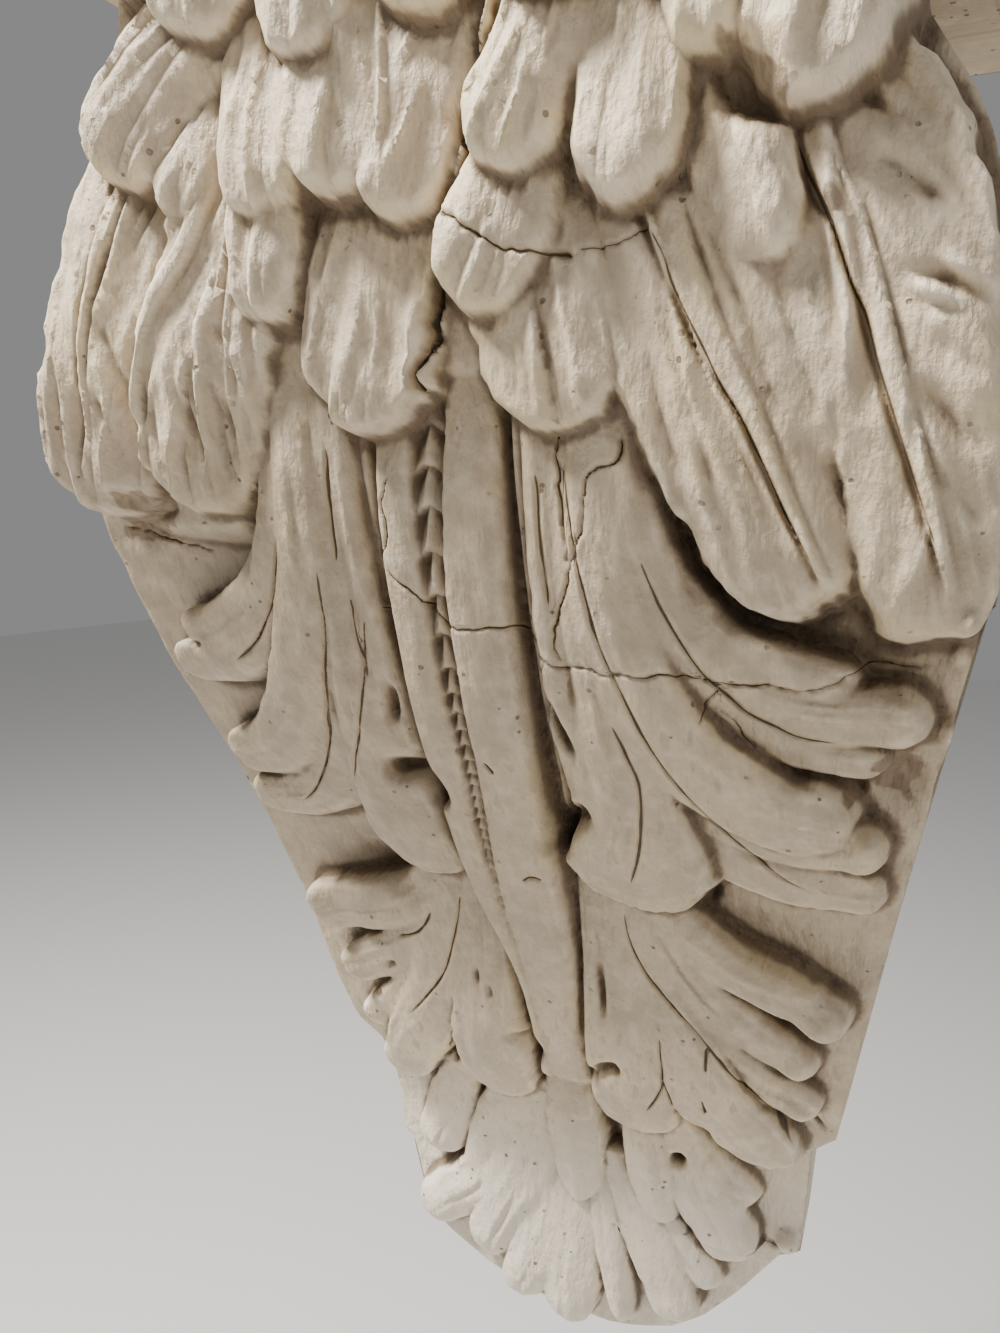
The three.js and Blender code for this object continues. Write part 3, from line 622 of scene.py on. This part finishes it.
# A chip or a hollow is a dish: its middle, half axes, turn and depth, negative for a lump.
CHIPS = [
    (129, 63, 7, 10, 10, 5), (117, 58, 3, 4, 0, 5), (89, 231, 10, 6, -30, 10), (-114, 140, 9, 4, -5, 6),
    (-126, 132, 16, 5, 12, 1.5), (108, 206, 2.2, 4.5, 15, 0.5),
]
HOLLOWS = [
    (115, 95, 4, 2, -25, 2), (50.5, -144, 3.0, 4.0, -20, 12), (130, 187, 9, 4.2, -22, 3.4),
    (130, 186, 6.5, 2.0, -22, -3.8), (-66, -10, 16, 9, -10, 6), (122, 39, 5, 4, 30, -3),
    (97, -187, 4.5, 5, 0, -6), (142, 80, 3, 4.5, 0, -6), (143, 112, 2.5, 5, 0, -5),
    (142, 103, 2, 3, 0, -4), (4, 187, 4, 5.5, 0, -1.8), (136, 190, 6, 2, -30, -2),
]
VEIN_WIDTH, VEIN_DEPTH, VEIN_ENDS = 1.0, 1.5, 0.15
WIDE_SLOT = 3


def carve_marks(front):
    """The faint unevenness of the whole front, then everything that is cut into it or lost."""
    x, z = front.x, front.z
    front.height += 0.22 * unevenness(x, z, 6.5, 11) + 0.12 * unevenness(x, z, 2.7, 12)
    for points, width, depth in FURROWS:
        front.cut_line(points, width, depth, ends=0.3)
    for points in VEINS + QUILL_CUTS:
        front.cut_line(points, VEIN_WIDTH, VEIN_DEPTH, ends=VEIN_ENDS, sharp=True)
    for points, width, depth in SLOTS + OPEN_CRACK:
        front.cut_line(points, width, depth, ends=0.2 if width > WIDE_SLOT else 0.45)
    for points, width, depth in CRACKS:
        front.cut_line(points, width, depth, ends=0.05, sharp=True, crack=True)
    for dish in HOLLOWS + CHIPS:
        front.hollow(*dish)


# The finished block
# One closed mesh: the carved front, straight sides with worn arrises, a flat back, and the plain
# slab on top that carries the load. It takes the place of the frame's solid, and is thinned
# where it is smooth. The facts about the surface that the paint needs are kept at its points.
PITCH = 0.8
COLUMNS = 430
FRONT_FROM = -263.6
LEFT_OUTLINE = [(-263.7, 14), (-262, 26), (-258, 42), (-250, 62), (-238, 82), (-226, 91), (-208, 94),
                (-190, 100)]
RIGHT_OUTLINE = [(-263.7, 14), (-262, 24), (-257, 38), (-246, 56), (-228, 72), (-208, 86), (-196, 94),
                 (-190, 100)]
SLAB_HALF, SLAB_DEPTH, SLAB_TOP, ARRIS = 150, 247, 342, 1.5
SLAB_ROWS = 14
SIDE_STEPS = np.array([0, 0.012, 0.04, 0.09, 0.16, 0.26, 0.38, 0.52, 0.68, 0.84, 1])
MOST_TRIANGLES = 190000
SHARPEST_BEND = 38
FRONT_SKIN = 3
CRUST_LINE = [(62, 156), (65, 145), (70, 135), (77, 126), (84, 117), (91, 110), (99, 106), (108, 103),
              (118, 102)]
CRUST_REACH = 4.5
VEIN_LINE, CRACK_LINE, OPEN_CRACK_LINE = 0.38, 0.36, 0.75
FAR_BESIDE = 9.0
EDGE_RADIUS, EDGE_HEIGHT = 1.3, 0.8
DIRT_HOLLOWS = [(EDGE_RADIUS, 1.0, 0.7), (3.5, 3.6, 0.36), (9.0, 9.0, 0.16)]


def front_outline(z, stations):
    """Half the front's width on one side: the block's own, and below the foot's corner the
    line around the leaf tips."""
    return np.where(z < FOOT_CORNER, through(stations, z), block_half_width(z))


def block_front():
    """The carved front: on every row the columns run evenly from the left edge to the right."""
    z = np.append(np.arange(FRONT_FROM, BLOCK_TOP, PITCH), BLOCK_TOP)[:, None] + np.zeros(COLUMNS + 1)
    left, right = -front_outline(z, LEFT_OUTLINE), front_outline(z, RIGHT_OUTLINE)
    front = Carving(left + (right - left) * np.linspace(0, 1, COLUMNS + 1), z)
    carve_mound(front)
    carve_leaves(front)
    carve_stem(front)
    carve_feathers(front)
    carve_marks(front)
    return front


def front_rows(front):
    """The front's points, kept off the block's edges by half a worn arris."""
    y = -(through(GROUND_DEPTH, front.z) + front.height)
    level = front.z[:, :1]
    edge = 0.5 * ARRIS * (1 + 0.6 * unevenness(level, 0 * level, 9, 61))
    x = np.clip(front.x, front.x[:, :1] + edge, front.x[:, -1:] - edge)
    return np.stack([x, y, front.z], -1)


def slab_rows():
    """The slab's front from its lower edge to its upper one: flat, with faint dents, and set
    back by the arris at both edges and both ends."""
    inner = np.linspace(BLOCK_TOP + ARRIS, SLAB_TOP - ARRIS, SLAB_ROWS)
    level = np.concatenate([[BLOCK_TOP], inner, [SLAB_TOP]])[:, None] + np.zeros(COLUMNS + 1)
    x = np.linspace(-1, 1, COLUMNS + 1) * SLAB_HALF
    x = np.clip(x, ARRIS - SLAB_HALF, SLAB_HALF - ARRIS) + 0 * level
    dents = 0.35 * unevenness(x, level, 19, 71)
    at_edge = np.isin(level, (BLOCK_TOP, SLAB_TOP))
    y = np.where(at_edge, ARRIS - SLAB_DEPTH, dents - SLAB_DEPTH)
    return np.stack([x, y, level], -1)


def side_wall(rim, on_slab, outline, sign):
    """One side: every row runs from the front's rim straight back to the wall, and goes over
    from the front's width to the block's on its way."""
    level = rim[:, 2]
    slab_half = np.where(np.isin(level, (BLOCK_TOP, SLAB_TOP)), SLAB_HALF - ARRIS, SLAB_HALF)
    at_front = np.where(on_slab, slab_half, front_outline(level, outline))[:, None]
    at_wall = np.where(on_slab, slab_half, block_half_width(np.maximum(level, FOOT_BOTTOM + 1)))[:, None]
    x = at_front + (at_wall - at_front) * fade(0.04, 0.3, SIDE_STEPS)
    x[:, 0] = np.abs(rim[:, 0])
    level = level[:, None] + 0 * SIDE_STEPS
    x[:, 1:-1] += 0.25 * unevenness(level, 200 * SIDE_STEPS + 0 * level, 17, 81)[:, 1:-1]
    return np.stack([sign * x, rim[:, 1:2] * (1 - SIDE_STEPS), level], -1)


def closed_block(front):
    """Front rows, then the slab's rows; on both sides each row runs back to the wall, and the
    back is closed row by row. Returns the points and the faces."""
    body = front_rows(front)
    grid = np.concatenate([body, slab_rows()])
    count, wide = grid.shape[:2]
    back = len(SIDE_STEPS) - 1
    on_slab = np.arange(count) >= len(body)
    left = side_wall(grid[:, 0], on_slab, LEFT_OUTLINE, -1)
    right = side_wall(grid[:, -1], on_slab, RIGHT_OUTLINE, 1)
    points = np.concatenate([grid.reshape(-1, 3), left[:, 1:].reshape(-1, 3), right[:, 1:].reshape(-1, 3)])
    number = np.arange(count * wide).reshape(count, wide)
    left_number = count * wide + np.arange(count * back).reshape(count, back)
    right_number = left_number + count * back
    left_strip = np.concatenate([left_number[:, ::-1], number[:, :1]], 1)
    right_strip = np.concatenate([number[:, -1:], right_number], 1)
    back_strip = np.stack([right_number[:, -1], left_number[:, -1]], 1)
    faces = []
    for strip in (number, left_strip, right_strip, back_strip):
        quads = np.stack([strip[:-1, :-1], strip[:-1, 1:], strip[1:, 1:], strip[1:, :-1]], -1)
        faces += quads.reshape(-1, 4).tolist()
    for row, order in ((-1, 1), (0, -1)):
        ring = np.concatenate([number[row], right_number[row], left_number[row][::-1]])
        faces.append(ring[::order].tolist())
    return points / 1000, faces


def line_field(front):
    """For every point near a vein or a crack: how far beside it the point lies, and the
    line's half width there, which runs out to nothing away from it."""
    beside = np.full(front.x.shape, FAR_BESIDE)
    half = np.zeros(front.x.shape)
    lines = [(points, VEIN_LINE, False) for points in VEINS + QUILL_CUTS]
    lines += [(points, CRACK_LINE * width, True) for points, width, _ in CRACKS]
    lines += [(points, OPEN_CRACK_LINE * width, True) for points, width, _ in OPEN_CRACK]
    for points, width, crack in lines:
        part, x, z, reach, side, total = front.beside(curve(points), 4, crack)
        f = reach / total
        here = width * fade(0, 0.06, f) * (1 - fade(0.9, 1, f)) * (1 - fade(1.6, 2.8, np.abs(side)))
        here = here * (1 + 0.5 * unevenness(x, z, 6, 21))
        here = here * (0.55 + 0.45 * fade(-0.4, 0.3, unevenness(x, z, 11, 23)))
        closer = np.abs(side) < np.abs(beside[part])
        beside[part] = np.where(closer, side, beside[part])
        half[part] = np.where(closer, here, half[part])
    return beside, half


def softened(field, radius):
    """The field blurred by a Gaussian of this radius in mm, as a product of its Fourier
    transform; its edges are repeated outwards first."""
    pad = int(3 * radius / PITCH) + 1
    wide = np.pad(field, pad, mode="edge")
    up = np.fft.fftfreq(wide.shape[0], PITCH)[:, None]
    across = np.fft.rfftfreq(wide.shape[1], PITCH)[None, :]
    keep = np.exp(-2 * (np.pi * radius) ** 2 * (up * up + across * across))
    blurred = np.fft.irfft2(np.fft.rfft2(wide) * keep, wide.shape)
    return blurred[pad:-pad, pad:-pad]


def bare_patches(x, z):
    """1 inside each chip and 0 outside, with a ragged rim."""
    bare = np.zeros(x.shape)
    for *dish, _ in CHIPS:
        r = np.hypot(*in_dish(x, z, *dish))
        r = r + 0.35 * unevenness(x, z, 4, 31) + 0.2 * unevenness(x, z, 1.6, 33)
        bare = np.maximum(bare, 1 - fade(0.75, 1.0, r))
    return bare


def surface_facts(front):
    """What the paint needs to know at each point: dirt in the hollows and along the crust,
    wear on the edges, which also serves there as a painted highlight, the run of the blade
    under it, the cut lines beside it and the bare patches. Dirt and wear are how far the
    surface lies under and over its blurred self."""
    x, z, height = front.x, front.z, front.height
    grime = sum(share * np.clip((softened(height, radius) - height) / full, 0, 1)
                for radius, full, share in DIRT_HOLLOWS)
    _, side, _ = along(curve(CRUST_LINE), x, z)
    grime = softened(grime, 0.6) + 0.4 * np.exp(-(side / CRUST_REACH) ** 2)
    wear_and_highlight = np.clip((height - softened(height, EDGE_RADIUS)) / EDGE_HEIGHT, 0, 1)
    beside, half = line_field(front)
    return {"grime": grime, "wear_and_highlight": wear_and_highlight, "along": front.along, "across": front.across,
            "line_beside": beside, "line_half": half, "bare": bare_patches(x, z)}


def sampled(field, column, row):
    """The field at places between its grid points: the four around each, weighed by how near
    they are."""
    i = np.clip(np.floor(row).astype(int), 0, field.shape[0] - 2)
    j = np.clip(np.floor(column).astype(int), 0, field.shape[1] - 2)
    f, g = np.clip(column - j, 0, 1), np.clip(row - i, 0, 1)
    low = field[i, j] * (1 - f) + field[i, j + 1] * f
    high = field[i + 1, j] * (1 - f) + field[i + 1, j + 1] * f
    return low * (1 - g) + high * g


def placed(name, data):
    """A new object in the scene."""
    made = bpy.data.objects.new(name, data)
    bpy.context.collection.objects.link(made)
    return made


def read_all(items, name, width, kind=float):
    """One property of all the mesh's points or edges, as an array with this many columns."""
    values = np.empty(width * len(items), kind)
    items.foreach_get(name, values)
    return values.reshape(-1, width)


front = block_front()
facts = surface_facts(front)
points, faces = closed_block(front)
mesh = bpy.data.meshes.new("carved_corbel")
mesh.from_pydata(points.tolist(), [], faces)
corbel = placed("carved_corbel", mesh)
shell = bmesh.new()
shell.from_mesh(mesh)
bmesh.ops.recalc_face_normals(shell, faces=shell.faces)
bmesh.ops.triangulate(shell, faces=[face for face in shell.faces if len(face.verts) > 4])
shell.to_mesh(mesh)
shell.free()

# Points on cut lines, worn edges and dirty hollows are the last to be thinned out.
LEVELS = 5
keep = corbel.vertex_groups.new(name="thin_out")
on_line = 0.85 * np.clip(facts["line_half"] * 6, 0, 1)
on_edge = 0.3 * np.clip(facts["wear_and_highlight"] + facts["grime"], 0, 0.4)
weights = np.ones(len(points))
weights[:front.x.size] = (1 - on_line - on_edge).ravel()
for level in np.linspace(0, 1, LEVELS + 1)[:-1]:
    chosen = np.where((weights >= level) & (weights < level + 1 / LEVELS))[0]
    keep.add(chosen.tolist(), float(level + 0.5 / LEVELS), "REPLACE")
keep.add(np.where(weights >= 1)[0].tolist(), 1.0, "REPLACE")
thin = corbel.modifiers.new("thin", "DECIMATE")
thin.ratio = MOST_TRIANGLES / sum(len(face) - 2 for face in faces)
thin.vertex_group = "thin_out"
thin.vertex_group_factor = 4
thinned = bpy.data.meshes.new_from_object(corbel.evaluated_get(bpy.context.evaluated_depsgraph_get()))
corbel.modifiers.clear()
corbel.vertex_groups.clear()
corbel.data = thinned
thinned.name = "carved_corbel"
thinned.shade_smooth()

# Each point that is left finds its place in the front's grid again, if it is on the front.
x, y, z = 1000 * read_all(thinned.vertices, "co", 3).T
row = (z - FRONT_FROM) / PITCH
left, right = -front_outline(z, LEFT_OUTLINE), front_outline(z, RIGHT_OUTLINE)
column = COLUMNS * (x - left) / (right - left)
front_depth = sampled(-(through(GROUND_DEPTH, front.z) + front.height), column, row)
on_front = (np.abs(y - front_depth) < FRONT_SKIN) & (z <= BLOCK_TOP)

# The plain faces meet in crisp arrises; the carving is shaded smooth.
ends = read_all(thinned.edges, "vertices", 2, int)
thinned.set_sharp_from_angle(angle=np.radians(SHARPEST_BEND))
crisp = thinned.attributes["sharp_edge"].data
crisp.foreach_set("value", read_all(crisp, "value", 1, bool)[:, 0] & ~on_front[ends].all(axis=1))

# Dirt, wear (which also carries a painted highlight) and bare wood are halved with the
# mean of the neighbours, so that they don't fray.
count = len(x)
neighbours = np.bincount(ends.ravel(), minlength=count)
for name, field in facts.items():
    value = np.where(on_front, sampled(field, column, row), FAR_BESIDE if name == "line_beside" else 0)
    if name in ("grime", "wear_and_highlight", "bare"):
        total = np.bincount(ends[:, 0], value[ends[:, 1]], count)
        total = total + np.bincount(ends[:, 1], value[ends[:, 0]], count)
        value = 0.5 * value + 0.5 * total / neighbours
    thinned.attributes.new(name, "FLOAT", "POINT").data.foreach_set("value", value)

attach(corbel, "root")
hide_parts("corbel")


# The paint
# Many coats of oil paint over gesso, once cream and now a warm grey white: brown dirt in every
# hollow, yellower on the worn edges, with pinholes and hair cracks, and bare brown wood where it
# has chipped. The back was never painted. Places here are in metres.
CREAM = (0.70, 0.575, 0.405, 1)
GREY_CREAM = (0.53, 0.435, 0.315, 1)
PALE_CREAM = (0.87, 0.755, 0.585, 1)
# The foot's white: cleaner paint, and partly painted light.
CLEAN_AND_LIT_WHITE = (0.88, 0.805, 0.69, 1)
# Brown for the dull middle: partly dirt, partly painted shade.
DUSTY_SHADE_BROWN = (0.36, 0.285, 0.20, 1)
OCHRE = (0.50, 0.37, 0.20, 1)
YELLOWED = (0.76, 0.62, 0.38, 1)
DRY_BROWN = (0.36, 0.28, 0.19, 1)
DIRT = (0.165, 0.115, 0.072, 1)
SOOT = (0.032, 0.022, 0.014, 1)
WOOD = (0.30, 0.225, 0.15, 1)
DARK_WOOD = (0.19, 0.135, 0.085, 1)
STREAK_ACROSS, STREAK_ALONG = 0.001, 0.00006
PINHOLES_PER_METRE = 200
RINGS_PER_METRE, RINGS_DRAWN_OUT = 260, 0.05

paint = bpy.data.materials.new("aged_paint")
paint.use_nodes = True
tree = paint.node_tree
tree.nodes.clear()


def node(kind, **settings):
    """A new node of the paint, with its settings."""
    made = tree.nodes.new(kind)
    for name, value in settings.items():
        setattr(made, name, value)
    return made


def feed(socket, value):
    """Give a socket a number or a colour, or what another node puts out."""
    if isinstance(value, (int, float, tuple)):
        socket.default_value = value
    else:
        tree.links.new(value, socket)


def attribute(name):
    """One of the facts kept at the mesh's points."""
    return node("ShaderNodeAttribute", attribute_name=name).outputs["Fac"]


def arithmetic(operation, *values):
    """One step of arithmetic on masks and numbers."""
    made = node("ShaderNodeMath", operation=operation)
    for socket, value in zip(made.inputs, values):
        feed(socket, value)
    return made.outputs[0]


times, plus, minus, larger = (partial(arithmetic, operation)
                              for operation in ("MULTIPLY", "ADD", "SUBTRACT", "MAXIMUM"))


def ramp(value, start, end, low=0.0, high=1.0):
    """low before start, high past end, with a smooth step between."""
    made = node("ShaderNodeMapRange", interpolation_type="SMOOTHSTEP")
    names = ("Value", "From Min", "From Max", "To Min", "To Max")
    for name, given in zip(names, (value, start, end, low, high)):
        feed(made.inputs[name], given)
    return made.outputs["Result"]


def blend_colour(mask, below, above):
    """The colour below where the mask is 0, the colour above where it is 1."""
    made = node("ShaderNodeMix", data_type="RGBA")
    for number, value in ((0, mask), (6, below), (7, above)):
        feed(made.inputs[number], value)
    return made.outputs[2]


def coated(colour, *coats):
    """The colour under further coats, each a mask and a colour, laid one over the other."""
    for mask, coat in coats:
        colour = blend_colour(mask, colour, coat)
    return colour


def grain(size, detail=3, rough=0.55, where=None):
    """Noise whose lumps are about this many metres across."""
    made = node("ShaderNodeTexNoise", noise_dimensions="3D")
    feed(made.inputs["Scale"], 1 / size)
    feed(made.inputs["Detail"], detail)
    feed(made.inputs["Roughness"], rough)
    feed(made.inputs["Vector"], where or on_corbel)
    return made.outputs["Fac"]


on_corbel = node("ShaderNodeTexCoord").outputs["Object"]
apart = node("ShaderNodeSeparateXYZ")
feed(apart.inputs[0], on_corbel)
right_of_middle, into_wall, level = apart.outputs
grime, wear_and_highlight, bare = attribute("grime"), attribute("wear_and_highlight"), attribute("bare")

# Along each blade the brush and the gouge have left fine streaks: noise drawn out lengthwise.
run = node("ShaderNodeCombineXYZ")
feed(run.inputs[0], times(attribute("across"), STREAK_ACROSS))
feed(run.inputs[1], times(attribute("along"), STREAK_ALONG))
streaks = grain(0.0011, 3, 0.6, run.outputs[0])
broad_streaks = grain(0.004, 2, 0.5, run.outputs[0])

patches = grain(0.045, 3, 0.6)
mottle = grain(0.009, 4, 0.6)
speckle = grain(0.0011, 3, 0.7)
drawn = times(ramp(broad_streaks, 0.46, 0.34), ramp(patches, 0.4, 0.6, 0.1, 0.5))
colour = blend_colour(ramp(patches, 0.38, 0.62), GREY_CREAM, CREAM)
colour = coated(colour, (ramp(mottle, 0.45, 0.75, 0.0, 0.55), PALE_CREAM),
                (ramp(broad_streaks, 0.42, 0.68, 0.0, 0.4), GREY_CREAM), (drawn, DRY_BROWN),
                (ramp(streaks, 0.42, 0.3, 0.0, 0.28), DRY_BROWN),
                (ramp(speckle, 0.55, 0.75, 0.0, 0.25), OCHRE))

# Worn edges are warmer, and paler: partly worn paint, partly a painted highlight on the
# ridges. Ochre stains lie beside the dirt. The foot is whiter than the rest: partly cleaner
# paint, partly a painted pool of light.
rubbed_and_highlight = times(ramp(wear_and_highlight, 0.12, 0.7), ramp(mottle, 0.3, 0.6, 0.3, 0.8))
yellow = times(ramp(wear_and_highlight, 0.05, 0.4), ramp(patches, 0.46, 0.6, 0.05, 0.75))
stain = times(ramp(grime, 0.1, 0.45), ramp(grain(0.016, 3, 0.6), 0.42, 0.62, 0.0, 0.6))
colour = coated(colour, (rubbed_and_highlight, PALE_CREAM), (yellow, YELLOWED), (stain, OCHRE),
                # the whiter foot is partly cleaner paint and partly a painted pool of light
                (ramp(level, -0.19, -0.11, 0.6, 0.0), CLEAN_AND_LIT_WHITE))

# The middle is duller and browner, most of all on the left: partly dirtier paint, partly painted shade.
dust_and_shade = times(ramp(level, 0.21, 0.12), ramp(level, -0.12, -0.01))
dust_and_shade = times(dust_and_shade, ramp(right_of_middle, -0.05, 0.06, 0.72, 0.45))
colour = coated(colour, (times(dust_and_shade, ramp(mottle, 0.25, 0.65, 1.2, 0.7)), DUSTY_SHADE_BROWN))

# Dirt: a thin brown veil that thickens in the hollows, broken up by the paint's own grain.
broken = plus(grime, times(minus(mottle, 0.5), 0.7))
broken = plus(broken, times(minus(patches, 0.5), 0.65))
black = times(ramp(broken, 0.62, 1.05), ramp(grain(0.004, 3, 0.6), 0.42, 0.6, 0.05, 0.5))
colour = coated(colour, (ramp(broken, 0.14, 0.62, 0.0, 0.88), DIRT), (black, SOOT))

# Pinholes and specks: the nearest points of a scatter, only where the paint is poor.
scatter = node("ShaderNodeTexVoronoi", feature="F1")
feed(scatter.inputs["Scale"], PINHOLES_PER_METRE)
feed(scatter.inputs["Vector"], on_corbel)
lot = node("ShaderNodeSeparateColor")
feed(lot.inputs[0], scatter.outputs["Color"])
past_rim = minus(scatter.outputs["Distance"], times(ramp(lot.outputs[0], 0.3, 1.0), 0.19))
pinhole = times(ramp(past_rim, -0.04, 0.03, 1.0, 0.0), ramp(grain(0.02, 2, 0.5), 0.44, 0.58))
pinhole = times(pinhole, ramp(lot.outputs[1], 0.35, 0.4))
colour = coated(colour, (times(pinhole, 0.85), DIRT))

# Veins and cracks hold black dirt.
half = attribute("line_half")
off_line = minus(arithmetic("ABSOLUTE", attribute("line_beside")), half)
line = times(ramp(off_line, -0.25, 0.12, 1.0, 0.0), ramp(half, 0.06, 0.2))
halo = times(ramp(off_line, 0.0, 1.1, 0.45, 0.0), ramp(half, 0.05, 0.3))
colour = coated(colour, (halo, OCHRE), (times(line, 0.85), SOOT))

# Bare wood in the chips and all over the back: dark growth rings, drawn out along Z.
rings = node("ShaderNodeTexNoise")
stretched = node("ShaderNodeMapping")
feed(stretched.inputs["Vector"], on_corbel)
stretched.inputs["Scale"].default_value = (1, 1, RINGS_DRAWN_OUT)
feed(rings.inputs["Vector"], stretched.outputs[0])
feed(rings.inputs["Scale"], RINGS_PER_METRE)
feed(rings.inputs["Detail"], 4)
wood = blend_colour(ramp(rings.outputs["Fac"], 0.35, 0.65), DARK_WOOD, WOOD)
behind = ramp(into_wall, -0.0008, -0.0003)
wooden = larger(times(ramp(bare, 0.25, 0.7), 0.85), behind)
colour = coated(colour, (wooden, wood))

# The surface: streaks, brush drag, grain, pinholes and lines, as heights in metres.
height = times(streaks, 0.0004)
for relief, metres in ((broad_streaks, 0.0016), (mottle, 0.0007), (grain(0.0016, 4, 0.65), 0.0004)):
    height = plus(height, times(relief, metres))
for cut, metres in ((pinhole, 0.0005), (line, 0.0007)):
    height = minus(height, times(cut, metres))
bump = node("ShaderNodeBump")
feed(bump.inputs["Strength"], 0.9)
feed(bump.inputs["Distance"], 1.0)
feed(bump.inputs["Height"], height)

# Dirt and bare wood are duller than the paint.
shader = node("ShaderNodeBsdfPrincipled")
feed(shader.inputs["Specular IOR Level"], 0.42)
feed(shader.inputs["Base Color"], colour)
duller = times(larger(wooden, ramp(grime, 0.2, 0.8)), 0.85)
feed(shader.inputs["Roughness"], larger(ramp(mottle, 0.3, 0.7, 0.46, 0.62), duller))
feed(shader.inputs["Normal"], bump.outputs[0])
feed(node("ShaderNodeOutputMaterial").inputs[0], shader.outputs[0])
thinned.materials.append(paint)


# The room
# A pale floor below, even light from a pale sky, a soft lamp high on the left and a weaker,
# larger one on the right. The camera stands where the photograph was taken: close, a little to
# the right and above the middle, in millimetres from the origin.
CAMERA_AT = (132.8, -454.8, 136)
CAMERA_TURN, CAMERA_DIP, CAMERA_ROLL = 23.85, -8.5, 1.1
LENS, SENSOR_WIDTH, NEAREST = 26.0, 36, 0.01
FLOOR_LEVEL, FLOOR_REACH = -0.75, 6.0
LAMPS_AIM = (0, -0.1, 0.05)


def lamp(name, at, size, power, colour):
    """A square lamp, size metres wide, that shines at the corbel's middle."""
    light = bpy.data.lights.new(name, "AREA")
    light.shape = "RECTANGLE"
    light.size = light.size_y = size
    light.energy = power
    light.color = colour
    holder = placed(name, light)
    holder.location = at
    holder.rotation_euler = (Vector(LAMPS_AIM) - Vector(at)).to_track_quat("-Z", "Y").to_euler()


lamp("key_lamp", (-0.75, -0.7, 1.3), 0.36, 84, (1.0, 0.955, 0.89))
lamp("fill_lamp", (1.3, -1.0, 0.5), 1.2, 5, (1.0, 0.97, 0.93))

corners = [(FLOOR_REACH * x, FLOOR_REACH * y, FLOOR_LEVEL) for x, y in ((-1, -1), (1, -1), (1, 1), (-1, 1))]
floor_mesh = bpy.data.meshes.new("floor")
floor_mesh.from_pydata(corners, [], [(0, 1, 2, 3)])
floor = placed("floor", floor_mesh)
floor_paint = bpy.data.materials.new("pale_floor")
floor_paint.use_nodes = True
floor_shader = floor_paint.node_tree.nodes["Principled BSDF"]
floor_shader.inputs["Base Color"].default_value = (0.86, 0.85, 0.83, 1)
floor_shader.inputs["Roughness"].default_value = 0.8
floor_mesh.materials.append(floor_paint)

sky = bpy.data.worlds.new("pale_sky")
sky.use_nodes = True
sky_light = sky.node_tree.nodes["Background"]
sky_light.inputs["Color"].default_value = (0.85, 0.85, 0.86, 1)
sky_light.inputs["Strength"].default_value = 0.3
bpy.context.scene.world = sky

lens = bpy.data.cameras.new("camera")
lens.lens = LENS
lens.sensor_width = SENSOR_WIDTH
lens.clip_start = NEAREST
camera = placed("camera", lens)
turn = Matrix.Rotation(math.radians(CAMERA_TURN), 4, "Z")
dip = Matrix.Rotation(math.radians(90 + CAMERA_DIP), 4, "X")
roll = Matrix.Rotation(math.radians(CAMERA_ROLL), 4, "Z")
camera.matrix_world = Matrix.Translation(Vector(CAMERA_AT) / 1000) @ turn @ dip @ roll
bpy.context.scene.camera = camera
